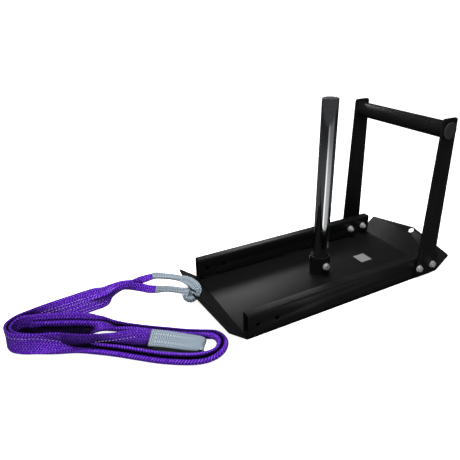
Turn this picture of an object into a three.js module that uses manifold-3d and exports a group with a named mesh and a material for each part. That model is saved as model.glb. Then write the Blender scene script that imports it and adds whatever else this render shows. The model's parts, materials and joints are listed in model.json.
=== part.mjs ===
// Drag sled: a steel tray with two side rails, an upright post for weight plates, a bolted push
// handle, and a webbing tow strap hitched through the front lip.
// Millimetres. +X to the push handle at the rear, +Y to the pusher's right hand, +Z up.
// The tray's underside is Z = 0, and the origin is under the middle of the tray.
import * as THREE from 'three'
import { mergeVertices } from 'three/addons/utils/BufferGeometryUtils.js'
import Module from 'manifold-3d'

const wasm = await Module()
wasm.setup()

// Tray
const trayWidth = 360
const plateThickness = 4
const bendRadius = 4
const lipAngle = THREE.MathUtils.degToRad(38)
const lipShoulder = 69
const lipPeak = 103
const lipPeakRadius = 30
const lipCornerRadius = 6
const lipHoleDiameter = 20
const lipHoleReach = 88

// Rails
const railLength = 720
const railSetback = 1.5
const railHeight = 70
const railWidth = 30
const railWall = 3
const railCornerRadius = 5
const handleBoltSpacing = 60
const railEndDistance = 30
const boltHeight = 39

// Handle
const uprightThickness = 6
const uprightBoltEdge = 10
const uprightTopWidth = 58
const uprightFoot = 5
const uprightTop = 526
const uprightCornerRadius = 8
const crossbarDiameter = 50
const crossbarWall = 3
const crossbarHeight = 490
const crossbarStandout = 2

// Post
const postReach = 10
const postDiameter = 50
const postWall = 3
const postTop = 578
const socketDiameter = 66
const socketHeight = 68
const socketClearance = 0.6
const postBoltHeight = 42

// Fasteners, for one 12 mm thread
const boltDiameter = 12
const boltHoleDiameter = 13
const headAcrossCorners = 20.6
const headHeight = 7.5
const nutHeight = 10
const washerDiameter = 24
const washerThickness = 2.5
const boltStandout = 5
const boltTipTaper = 1.5

// Plugs and label
const plugFlange = 4
const plugEdgeRadius = 2.5
const plugStem = 18
const plugStemWall = 3
const labelReach = 201
const labelSide = 46
const labelThickness = 0.8

// Fits and cuts
const turnedClearance = 0.3
const overrun = 10

// Segments round a circle
const fine = 40
const coarse = 24
const cornerSteps = 4

const steelBlack = new THREE.MeshStandardMaterial({ color: 0x16171a, roughness: 0.42, metalness: 0.35 })
const chrome = new THREE.MeshStandardMaterial({ color: 0xd8dadd, roughness: 0.06, metalness: 1 })
const zinc = new THREE.MeshStandardMaterial({ color: 0xb9bcc0, roughness: 0.3, metalness: 1 })
const plastic = new THREE.MeshStandardMaterial({ color: 0x26282b, roughness: 0.55, metalness: 0 })
const aluminium = new THREE.MeshStandardMaterial({ color: 0xc4c7ca, roughness: 0.35, metalness: 0.9 })
const webbing = new THREE.MeshStandardMaterial({ color: 0x4a1aa8, roughness: 0.85, metalness: 0 })
const sleeving = new THREE.MeshStandardMaterial({ color: 0x9fb0bf, roughness: 0.9, metalness: 0 })

const sled = new THREE.Group()

function add(name, geometry, material) {
  const mesh = new THREE.Mesh(geometry, material)
  mesh.name = name
  sled.add(mesh)
  return mesh
}

function solidOf(geometry) {
  const bare = geometry.clone()
  bare.deleteAttribute('normal')
  bare.deleteAttribute('uv')
  const merged = mergeVertices(bare)
  const vertProperties = new Float32Array(merged.attributes.position.array)
  const triVerts = new Uint32Array(merged.index.array)
  return new wasm.Manifold(new wasm.Mesh({ numProp: 3, vertProperties, triVerts }))
}

function geometryOf(solid) {
  const mesh = solid.getMesh()
  const geometry = new THREE.BufferGeometry()
  geometry.setAttribute('position', new THREE.BufferAttribute(mesh.vertProperties, 3))
  geometry.setIndex(new THREE.BufferAttribute(mesh.triVerts, 1))
  return geometry
}

// A rod of one radius along Y, X or Z, centred on a point
function rod(axis, radius, length, x, y, z, segments) {
  const geometry = new THREE.CylinderGeometry(radius, radius, length, segments)
  if (axis === 'x') geometry.rotateZ(Math.PI / 2)
  if (axis === 'z') geometry.rotateX(Math.PI / 2)
  geometry.translate(x, y, z)
  return geometry
}

// An outline drawn in X and Z, given a thickness along Y from one side to the other
function plateAlongY(shape, fromY, toY) {
  const geometry = new THREE.ExtrudeGeometry(shape, {
    depth: toY - fromY,
    bevelEnabled: false,
    curveSegments: cornerSteps,
  })
  geometry.rotateX(Math.PI / 2)
  geometry.translate(0, toY, 0)
  return geometry
}

// A turned ring or tube standing on Z, from its bottom to its top
function ring(outer, inner, bottom, top, segments) {
  const profile = [
    new THREE.Vector2(inner, bottom),
    new THREE.Vector2(outer, bottom),
    new THREE.Vector2(outer, top),
    new THREE.Vector2(inner, top),
    new THREE.Vector2(inner, bottom),
  ]
  const geometry = new THREE.LatheGeometry(profile, segments)
  geometry.rotateX(Math.PI / 2)
  return geometry
}

// A rectangle in X and Y with each corner rounded by an arc
function roundedRectangle(target, left, bottom, right, top, radius) {
  target.moveTo(left + radius, bottom)
  target.lineTo(right - radius, bottom)
  target.absarc(right - radius, bottom + radius, radius, -Math.PI / 2, 0, false)
  target.lineTo(right, top - radius)
  target.absarc(right - radius, top - radius, radius, 0, Math.PI / 2, false)
  target.lineTo(left + radius, top)
  target.absarc(left + radius, top - radius, radius, Math.PI / 2, Math.PI, false)
  target.lineTo(left, bottom + radius)
  target.absarc(left + radius, bottom + radius, radius, Math.PI, 1.5 * Math.PI, false)
  return target
}

// The rails end just short of the tray's bends, and the handle's bolts sit in from the rails' ends
const handleBoltReach = (railLength - handleBoltSpacing) / 2 - railEndDistance
const uprightBottomWidth = handleBoltSpacing + 2 * uprightBoltEdge

// Tray: the side profile of a plate bent up at both ends, trimmed to the lips' gable outline
const lipStart = railLength / 2 + railSetback
const bendStart = lipStart - bendRadius * Math.tan(lipAngle / 2)
const bendCentre = plateThickness + bendRadius

function lipPoint(reach, depth) {
  return new THREE.Vector2(
    lipStart + reach * Math.cos(lipAngle) + depth * Math.sin(lipAngle),
    plateThickness + reach * Math.sin(lipAngle) - depth * Math.cos(lipAngle),
  )
}

function bendPoints(radius) {
  const points = []
  for (let step = 0; step <= cornerSteps; step += 1) {
    const angle = (lipAngle * step) / cornerSteps
    points.push(new THREE.Vector2(bendStart + radius * Math.sin(angle), bendCentre - radius * Math.cos(angle)))
  }
  return points
}

function trayProfile() {
  const lipEnd = lipPeak + overrun
  const rearEnd = [
    ...bendPoints(bendRadius + plateThickness),
    lipPoint(lipEnd, plateThickness),
    lipPoint(lipEnd, 0),
    ...bendPoints(bendRadius).reverse(),
  ]
  const frontEnd = rearEnd.map((point) => new THREE.Vector2(-point.x, point.y)).reverse()
  return new THREE.Shape([...rearEnd, ...frontEnd])
}

// The lip's outline in its own plane: X across the sled, Y up the slope from the bend
function lipOutline() {
  const half = trayWidth / 2
  const slope = Math.atan2(lipPeak - lipShoulder, half)
  const flank = lipPeak - lipPeakRadius * (1 / Math.cos(slope) - 1)
  const shape = new THREE.Shape()
  const cornerCentre = lipShoulder - lipCornerRadius * Math.tan((Math.PI / 2 - slope) / 2)
  shape.moveTo(half, 0)
  shape.lineTo(half, cornerCentre)
  shape.absarc(half - lipCornerRadius, cornerCentre, lipCornerRadius, 0, Math.PI / 2 - slope, false)
  shape.absarc(0, flank - lipPeakRadius, lipPeakRadius, Math.PI / 2 - slope, Math.PI / 2 + slope, false)
  shape.absarc(-half + lipCornerRadius, cornerCentre, lipCornerRadius, Math.PI / 2 + slope, Math.PI, false)
  shape.lineTo(-half, 0)
  return shape
}

function onLip(geometry, side) {
  geometry.rotateZ(-Math.PI / 2)
  geometry.rotateY(-lipAngle)
  geometry.translate(lipStart, 0, plateThickness)
  if (side < 0) geometry.rotateZ(Math.PI)
  return geometry
}

function lipCutter(side) {
  const blockDepth = plateThickness + 2 * overrun
  const reachFrom = lipShoulder / 2
  const block = new THREE.BoxGeometry(trayWidth + 2 * overrun, lipPeak + 3 * overrun - reachFrom, blockDepth)
  block.translate(0, (lipPeak + 3 * overrun + reachFrom) / 2, -plateThickness / 2)
  const kept = new THREE.ExtrudeGeometry(lipOutline(), {
    depth: blockDepth + 2 * overrun,
    bevelEnabled: false,
    curveSegments: coarse / 2,
  })
  kept.translate(0, 0, -plateThickness / 2 - blockDepth / 2 - overrun)
  return solidOf(onLip(block, side)).subtract(solidOf(onLip(kept, side)))
}

function lipHole(side) {
  const drill = new THREE.CylinderGeometry(lipHoleDiameter / 2, lipHoleDiameter / 2, 4 * overrun, coarse)
  drill.rotateX(Math.PI / 2)
  drill.translate(0, lipHoleReach, 0)
  return solidOf(onLip(drill, side))
}

let tray = solidOf(plateAlongY(trayProfile(), -trayWidth / 2, trayWidth / 2))
for (const side of [-1, 1]) {
  tray = tray.subtract(lipCutter(side)).subtract(lipHole(side))
}
add('tray', geometryOf(tray), steelBlack)

// Rails: rectangular tubes standing on the tray's long sides, drilled at both ends for the handle
const railBottom = plateThickness
const railTop = railBottom + railHeight
const railOuter = trayWidth / 2
const railInner = railOuter - railWidth
const boltReaches = [handleBoltReach - handleBoltSpacing / 2, handleBoltReach + handleBoltSpacing / 2]

function railSection() {
  const shape = roundedRectangle(new THREE.Shape(), railInner, railBottom, railOuter, railTop, railCornerRadius)
  const hollow = roundedRectangle(
    new THREE.Path(),
    railInner + railWall,
    railBottom + railWall,
    railOuter - railWall,
    railTop - railWall,
    railCornerRadius - railWall,
  )
  shape.holes.push(hollow)
  return shape
}

function rail(side) {
  const geometry = new THREE.ExtrudeGeometry(railSection(), {
    depth: railLength,
    bevelEnabled: false,
    curveSegments: cornerSteps,
  })
  geometry.translate(0, 0, -railLength / 2)
  geometry.rotateX(Math.PI / 2)
  geometry.rotateZ(Math.PI / 2)
  let solid = solidOf(geometry)
  if (side < 0) solid = solid.rotate([0, 0, 180])
  const middle = side * (railInner + railWidth / 2)
  for (const reach of [...boltReaches, ...boltReaches.map((value) => -value)]) {
    const drill = rod('y', boltHoleDiameter / 2, railWidth + overrun, reach, middle, boltHeight, coarse)
    solid = solid.subtract(solidOf(drill))
  }
  return geometryOf(solid)
}

add('rail_left', rail(-1), steelBlack)
add('rail_right', rail(1), steelBlack)

// Uprights: tapering plates on the rails' outer faces, with the crossbar through their tops
const uprightInner = railOuter
const uprightOuter = uprightInner + uprightThickness

function uprightOutline() {
  const lean = (uprightBottomWidth - uprightTopWidth) / 2 / (uprightTop - uprightFoot)
  const topHalf = uprightTopWidth / 2
  const bottomHalf = uprightBottomWidth / 2
  const radius = uprightCornerRadius
  const shape = new THREE.Shape()
  const atTop = topHalf + lean * radius
  const atFoot = bottomHalf - lean * radius
  shape.moveTo(handleBoltReach - atFoot + radius, uprightFoot)
  shape.lineTo(handleBoltReach + atFoot - radius, uprightFoot)
  shape.absarc(handleBoltReach + atFoot - radius, uprightFoot + radius, radius, -Math.PI / 2, 0, false)
  shape.absarc(handleBoltReach + atTop - radius, uprightTop - radius, radius, 0, Math.PI / 2, false)
  shape.absarc(handleBoltReach - atTop + radius, uprightTop - radius, radius, Math.PI / 2, Math.PI, false)
  shape.absarc(handleBoltReach - atFoot + radius, uprightFoot + radius, radius, Math.PI, 1.5 * Math.PI, false)
  return shape
}

function upright(side) {
  const near = Math.min(side * uprightInner, side * uprightOuter)
  let solid = solidOf(plateAlongY(uprightOutline(), near, near + uprightThickness))
  const middle = near + uprightThickness / 2
  const reachThrough = uprightThickness + overrun
  const barHole = crossbarDiameter / 2 + turnedClearance
  solid = solid.subtract(
    solidOf(rod('y', barHole, reachThrough, handleBoltReach, middle, crossbarHeight, fine)),
  )
  for (const reach of boltReaches) {
    const drill = rod('y', boltHoleDiameter / 2, reachThrough, reach, middle, boltHeight, coarse)
    solid = solid.subtract(solidOf(drill))
  }
  return geometryOf(solid)
}

add('upright_left', upright(-1), steelBlack)
add('upright_right', upright(1), steelBlack)

// Crossbar: a tube through both uprights, plugged at each end
const crossbarHalf = uprightOuter + crossbarStandout
const crossbar = ring(crossbarDiameter / 2, crossbarDiameter / 2 - crossbarWall, -crossbarHalf, crossbarHalf, fine)
crossbar.rotateX(Math.PI / 2)
crossbar.translate(handleBoltReach, 0, crossbarHeight)
add('crossbar', crossbar, steelBlack)

// A plastic tube plug standing on Z: its flange sits on the tube's end and its hollow stem goes inside
function tubePlug(tubeDiameter, tubeWall) {
  const flange = tubeDiameter / 2
  const stem = flange - tubeWall - turnedClearance
  const profile = [new THREE.Vector2(0, 0), new THREE.Vector2(stem - plugStemWall, 0)]
  profile.push(new THREE.Vector2(stem - plugStemWall, -plugStem), new THREE.Vector2(stem, -plugStem))
  profile.push(new THREE.Vector2(stem, 0), new THREE.Vector2(flange, 0))
  for (let step = 0; step <= cornerSteps; step += 1) {
    const angle = (step / cornerSteps) * (Math.PI / 2)
    const across = flange - plugEdgeRadius + plugEdgeRadius * Math.cos(angle)
    profile.push(new THREE.Vector2(across, plugFlange - plugEdgeRadius + plugEdgeRadius * Math.sin(angle)))
  }
  profile.push(new THREE.Vector2(0, plugFlange))
  const geometry = new THREE.LatheGeometry(profile, fine)
  geometry.rotateX(Math.PI / 2)
  return geometry
}

for (const [name, side] of [['crossbar_cap_left', -1], ['crossbar_cap_right', 1]]) {
  const cap = add(name, tubePlug(crossbarDiameter, crossbarWall), plastic)
  cap.rotation.x = (-side * Math.PI) / 2
  cap.position.set(handleBoltReach, side * crossbarHalf, crossbarHeight)
}

// Post socket and post, drilled across for one bolt
const postFoot = plateThickness
const socketInner = postDiameter / 2 + socketClearance
const socketOuter = socketDiameter / 2
const postInner = postDiameter / 2 - postWall

function crossDrilled(geometry) {
  geometry.translate(postReach, 0, 0)
  const drill = rod('y', boltHoleDiameter / 2, socketDiameter + overrun, postReach, 0, postBoltHeight, coarse)
  return geometryOf(solidOf(geometry).subtract(solidOf(drill)))
}

const socket = ring(socketOuter, socketInner, plateThickness, plateThickness + socketHeight, fine)
add('post_socket', crossDrilled(socket), steelBlack)
add('post', crossDrilled(ring(postDiameter / 2, postInner, postFoot, postTop, fine)), chrome)

const postCap = add('post_cap', tubePlug(postDiameter, postWall), plastic)
postCap.position.set(postReach, 0, postTop)

// Hexagon bolt, nut and washer, each standing on Z with the head's or face's seat at zero
function hexBolt(grip) {
  const head = new THREE.CylinderGeometry(headAcrossCorners / 2, headAcrossCorners / 2, headHeight, 6)
  head.rotateX(Math.PI / 2)
  head.translate(0, 0, headHeight / 2)
  const radius = boltDiameter / 2
  const end = -(grip + nutHeight + boltStandout)
  const shankTop = headHeight / 2
  const profile = [
    new THREE.Vector2(0, end),
    new THREE.Vector2(radius - boltTipTaper, end),
    new THREE.Vector2(radius, end + boltTipTaper),
    new THREE.Vector2(radius, shankTop),
    new THREE.Vector2(0, shankTop),
  ]
  const shank = new THREE.LatheGeometry(profile, coarse)
  shank.rotateX(Math.PI / 2)
  return geometryOf(solidOf(head).add(solidOf(shank)))
}

function hexNut() {
  const body = new THREE.CylinderGeometry(headAcrossCorners / 2, headAcrossCorners / 2, nutHeight, 6)
  body.rotateX(Math.PI / 2)
  body.translate(0, 0, nutHeight / 2)
  const bore = rod('z', boltDiameter / 2 + turnedClearance, nutHeight + overrun, 0, 0, nutHeight / 2, coarse)
  return geometryOf(solidOf(body).subtract(solidOf(bore)))
}

function washer() {
  return ring(washerDiameter / 2, boltHoleDiameter / 2, 0, washerThickness, coarse)
}

// A bolt along Y through a stack: head washer, the clamped pieces, nut washer, nut
function boltThrough(names, headSide, x, z, headSeat, nutSeat) {
  const turn = (-headSide * Math.PI) / 2
  const grip = Math.abs(headSeat - nutSeat) + 2 * washerThickness
  const place = (name, geometry, y, rotation) => {
    const mesh = add(name, geometry, zinc)
    mesh.rotation.x = rotation
    mesh.position.set(x, y, z)
  }
  place(names.bolt, hexBolt(grip), headSeat + headSide * washerThickness, turn)
  place(names.headWasher, washer(), headSeat, turn)
  place(names.nutWasher, washer(), nutSeat, -turn)
  place(names.nut, hexNut(), nutSeat - headSide * washerThickness, -turn)
}

boltThrough(
  { bolt: 'post_bolt', headWasher: 'post_washer_left', nutWasher: 'post_washer_right', nut: 'post_nut' },
  -1,
  postReach,
  postBoltHeight,
  -socketOuter,
  socketOuter,
)

for (const [hand, side] of [['left', -1], ['right', 1]]) {
  for (const [place, reach] of [['front', boltReaches[0]], ['rear', boltReaches[1]]]) {
    const names = {
      bolt: `upright_bolt_${hand}_${place}`,
      headWasher: `outer_washer_${hand}_${place}`,
      nutWasher: `inner_washer_${hand}_${place}`,
      nut: `upright_nut_${hand}_${place}`,
    }
    boltThrough(names, side, reach, boltHeight, side * uprightOuter, side * railInner)
  }
}

// Label: a small square plate on the tray's floor, left bare
const label = new THREE.BoxGeometry(labelSide, labelSide, labelThickness)
label.translate(labelReach, 0, plateThickness + labelThickness / 2)
add('label_plate', label, aluminium)

// Strap: each stretch is a flat band lofted along a route. A route's row is a point on its centre
// line, the band's lean from lying flat in degrees, and its half width and half thickness.
const strapBodyRoute = [
  [-566, 186, 34, 80, 15, 7],
  [-604, 191, 35, 72, 15, 7],
  [-639, 184, 31, 68, 21, 6],
  [-664, 178, 29, 68, 25, 5],
  [-695, 178, 30, 70, 27, 4],
  [-752, 173, 30, 70, 27.5, 3.5],
  [-807, 167, 30, 72, 27.5, 3.5],
  [-861, 157, 30, 78, 27.5, 3.5],
  [-900, 149, 29, 86, 27.5, 3.5],
  [-923, 130, 29, 90, 27.5, 3.5],
  [-928, 103, 28.5, 92, 27.5, 3.5],
  [-917, 75, 28.5, 98, 27.5, 3.5],
  [-893, 56, 28, 104, 27, 3.5],
  [-861, 41, 26, 112, 25, 4.5],
  [-812, 16, 18, 135, 19, 7],
  [-765, -8, 14, 160, 16, 9],
  [-721, -39, 12, 176, 15, 10],
  [-678, -73, 11.5, 180, 15, 10],
  [-637, -109, 11.5, 180, 15, 10],
  [-596, -144, 11.5, 180, 15, 10],
  [-553, -174, 11.5, 180, 15, 10],
  [-520, -192, 11.5, 180, 15, 10],
  [-491, -200, 11.5, 180, 15, 10],
  [-465, -198, 11.5, 180, 15, 10],
  [-445, -187, 11.5, 180, 15, 10],
  [-432, -169, 11.5, 180, 15, 10],
  [-430, -149, 11.5, 180, 15, 10],
  [-437, -131, 11.5, 180, 15, 10],
  [-452, -120, 11.5, 180, 15, 10],
  [-474, -107, 11.5, 180, 15, 10],
  [-508, -85, 11.5, 180, 15, 10],
  [-541, -60, 11.5, 180, 15, 10],
  [-576, -34, 11.5, 180, 15, 10],
  [-610, -7, 11.5, 180, 15, 10],
  [-645, 20, 12, 185, 15, 10],
  [-675, 38, 16, 205, 17, 9],
  [-700, 47, 20, 230, 19, 7],
  [-725, 55, 23, 252, 22, 5],
  [-762, 71, 25.5, 264, 24.5, 4],
  [-806, 95, 26, 268, 25, 3.5],
  [-853, 121, 26, 270, 25, 3.5],
  [-883, 132, 26, 270, 25, 3.5],
  [-902, 127, 26, 270, 25, 3.5],
  [-906, 113, 26, 270, 25, 3.5],
  [-893, 96, 26, 270, 25, 3.5],
  [-858, 67, 26, 270, 25, 3.5],
  [-815, 31, 26, 270, 25, 3.5],
  [-770, -1, 26, 270, 25, 3.5],
  [-738, -13, 26, 272, 24, 3.5],
  [-713, -14, 26.5, 282, 21, 4],
  [-688, -24, 28, 309, 18, 5],
  [-664, -40, 28.5, 328, 18, 6],
  [-625, -64, 28, 340, 22, 6],
  [-594, -83, 25, 335, 24, 6],
]
const strapLegUpperRoute = [
  [-565.1, 189.5, 33.4, 100, 12, 3],
  [-557.2, 188.4, 33.2, 100, 12, 3],
  [-545, 187, 39, 125, 12, 3.5],
  [-521, 184, 42, 150, 12, 4],
  [-507, 179.5, 45.5, 162, 12, 4],
]
const strapLegLowerRoute = [
  [-566, 182.4, 34.6, 100, 13, 3],
  [-561, 181.8, 34.5, 100, 13, 3],
  [-549, 168, 25, 118, 13, 3.5],
  [-529, 149, 23.5, 132, 12.5, 4],
  [-512, 129, 29, 132, 12, 4],
]
const sleeveNearRoute = [
  [-506.5, 179.4, 45.6, 162, 12, 5],
  [-499.1, 177, 47.5, 162, 12, 5],
  [-482, 159, 51, 168, 12, 5],
  [-460, 130, 57, 172, 12, 5.5],
  [-443, 96, 64, 176, 12, 5.5],
  [-432, 62, 71, 178, 12, 6],
  [-425, 34, 75.5, 180, 12, 6],
  [-420, 13, 76.5, 180, 10, 6.5],
  [-420.5, 2, 72, 180, 7.5, 7],
  [-425, 0, 65.7, 180, 7.3, 7.3],
  [-432.1, 0, 56.6, 180, 7.3, 7.3],
  [-439, 0, 47.8, 180, 7.3, 7.3],
  [-446.5, 2, 43, 190, 8, 7],
  [-453, 10, 46, 205, 11, 6.5],
  [-457, 24, 52, 220, 14, 6],
  [-463, 44, 54.5, 226, 13, 5.5],
  [-475, 72, 50, 228, 12, 5],
  [-490, 98, 41, 228, 12, 5],
  [-506.6, 122.7, 30.7, 228, 12, 5],
  [-511.7, 128.6, 29.1, 228, 12, 5],
]
const sleeveFarRoute = [
  [-593.7, -83.2, 25, 335, 24, 7],
  [-568.5, -98.6, 22.5, 335, 25, 8],
  [-520, -136, 20, 338, 23, 8],
  [-486, -160, 18, 340, 19, 8],
]
const bandFlatShare = 0.84
const bandEdgeShare = 0.5

// The eight corners of a band's section, as shares of its half width and half thickness
const sectionShares = [
  [1, -bandEdgeShare],
  [1, bandEdgeShare],
  [bandFlatShare, 1],
  [-bandFlatShare, 1],
  [-1, bandEdgeShare],
  [-1, -bandEdgeShare],
  [-bandFlatShare, -1],
  [bandFlatShare, -1],
]

function band(route) {
  const curve = new THREE.CatmullRomCurve3(route.map(([x, y, z]) => new THREE.Vector3(x, y, z)))
  const steps = route.length - 1
  const positions = []
  const faces = []
  const sides = sectionShares.length
  for (let step = 0; step <= steps; step += 1) {
    const [, , , lean, halfWidth, halfThickness] = route[step]
    const centre = curve.points[step]
    const tangent = curve.getTangent(step / steps)
    const level = new THREE.Vector3(tangent.y, -tangent.x, 0).normalize()
    const wide = level.clone().applyAxisAngle(tangent, -THREE.MathUtils.degToRad(lean))
    const thick = tangent.clone().cross(wide)
    for (const [acrossShare, throughShare] of sectionShares) {
      const corner = centre.clone()
      corner.addScaledVector(wide, acrossShare * halfWidth)
      corner.addScaledVector(thick, throughShare * halfThickness)
      positions.push(corner.x, corner.y, corner.z)
    }
  }
  for (let step = 0; step < steps; step += 1) {
    for (let side = 0; side < sides; side += 1) {
      const a = step * sides + side
      const b = step * sides + ((side + 1) % sides)
      faces.push(a, b, b + sides, a, b + sides, a + sides)
    }
  }
  const last = steps * sides
  for (let side = 1; side < sides - 1; side += 1) {
    faces.push(0, side + 1, side)
    faces.push(last, last + side, last + side + 1)
  }
  const geometry = new THREE.BufferGeometry()
  geometry.setAttribute('position', new THREE.Float32BufferAttribute(positions, 3))
  geometry.setIndex(faces)
  return geometry
}

add('strap_body', band(strapBodyRoute), webbing)
add('strap_leg_upper', band(strapLegUpperRoute), webbing)
add('strap_leg_lower', band(strapLegLowerRoute), webbing)
add('sleeve_near', band(sleeveNearRoute), sleeving)
add('sleeve_far', band(sleeveFarRoute), sleeving)

export default sled
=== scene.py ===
# %% [markdown]
# # A drag sled, dressed for its picture
# A drag sled is a steel tray on the floor, loaded with weight plates and then pushed by its bar or towed by
# its strap. Its plain solids already exist, so this script loads them as a fixed frame and gives the sled
# what the eye looks for: softened steel edges, welds, threads, powder coat, chrome and woven webbing.
# One unit is a metre, +X runs to the push bar, +Y to the pusher's right hand and +Z up.

# %% The frame
import json
import math

import bpy
import numpy as np
from mathutils import Matrix, Vector
from mathutils.bvhtree import BVHTree

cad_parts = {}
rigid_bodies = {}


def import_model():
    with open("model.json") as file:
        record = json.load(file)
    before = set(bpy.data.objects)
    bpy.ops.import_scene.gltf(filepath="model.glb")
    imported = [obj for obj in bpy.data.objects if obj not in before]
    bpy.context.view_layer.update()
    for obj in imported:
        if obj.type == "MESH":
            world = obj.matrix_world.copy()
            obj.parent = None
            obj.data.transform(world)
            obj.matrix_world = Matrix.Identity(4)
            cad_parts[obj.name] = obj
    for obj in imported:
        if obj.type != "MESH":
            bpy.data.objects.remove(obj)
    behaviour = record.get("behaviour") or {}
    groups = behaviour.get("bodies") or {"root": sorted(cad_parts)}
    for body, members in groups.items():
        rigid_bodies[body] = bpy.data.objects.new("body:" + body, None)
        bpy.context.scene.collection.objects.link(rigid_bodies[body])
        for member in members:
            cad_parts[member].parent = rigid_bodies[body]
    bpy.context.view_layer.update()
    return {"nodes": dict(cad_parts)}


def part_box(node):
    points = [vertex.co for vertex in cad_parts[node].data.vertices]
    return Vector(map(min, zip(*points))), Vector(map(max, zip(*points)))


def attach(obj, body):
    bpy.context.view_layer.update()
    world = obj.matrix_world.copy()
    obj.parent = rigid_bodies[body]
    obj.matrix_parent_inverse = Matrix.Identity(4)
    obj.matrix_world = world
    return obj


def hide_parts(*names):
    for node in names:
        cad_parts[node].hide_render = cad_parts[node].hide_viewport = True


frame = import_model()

# %% [markdown]
# ## The camera
# A camera can be turned by three angles, or by a matrix whose columns are its right, its up and its back.
# The matrix is used here, because the photograph's own right and up were fitted as directions. The small
# shift slides the picture without turning the camera, so upright posts keep their slight lean.

# %% The camera's place and lens
LOOK_YAW = math.radians(61.60)
LOOK_DOWN = math.radians(23.51)
LOOK_ROLL = math.radians(-0.39)
LENS = 35.31
FILM_WIDTH = 36
PICTURE_SHIFT = (-0.0333, -0.0498)
EYE_PLACE = (-0.8270, -1.0306, 0.8106)

level_part = math.cos(LOOK_DOWN)
ahead = Vector((math.cos(LOOK_YAW) * level_part, math.sin(LOOK_YAW) * level_part, -math.sin(LOOK_DOWN)))
level_right = Vector((math.sin(LOOK_YAW), -math.cos(LOOK_YAW), 0))
level_up = level_right.cross(ahead)
right = level_right * math.cos(LOOK_ROLL) + level_up * math.sin(LOOK_ROLL)
up = level_up * math.cos(LOOK_ROLL) - level_right * math.sin(LOOK_ROLL)
turn = Matrix((right, up, -ahead)).transposed().to_4x4()

camera_data = bpy.data.cameras.new("sled_camera")
camera_data.sensor_width = FILM_WIDTH
camera_data.lens = LENS
camera_data.shift_x, camera_data.shift_y = PICTURE_SHIFT
camera = bpy.data.objects.new("sled_camera", camera_data)
camera.matrix_world = Matrix.Translation(EYE_PLACE) @ turn
bpy.context.scene.collection.objects.link(camera)
bpy.context.scene.camera = camera
print("camera at", [round(v, 3) for v in camera.matrix_world.translation])

# %% [markdown]
# ## The tow strap
# The strap is a flat webbing sling: two woven plies, 55 mm wide, sewn together, with an eye at each end.
# It could be a curve with a flat bevel, but a bevel keeps one shape, and this strap stands on edge, sinks
# into a channel and crowns within one metre. So its surface is built ring by ring along a route.
# A row of the route holds a point of the middle line, the strap's lean from lying flat in degrees, and
# half the width and half the height of the strap's bent section there.

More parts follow.
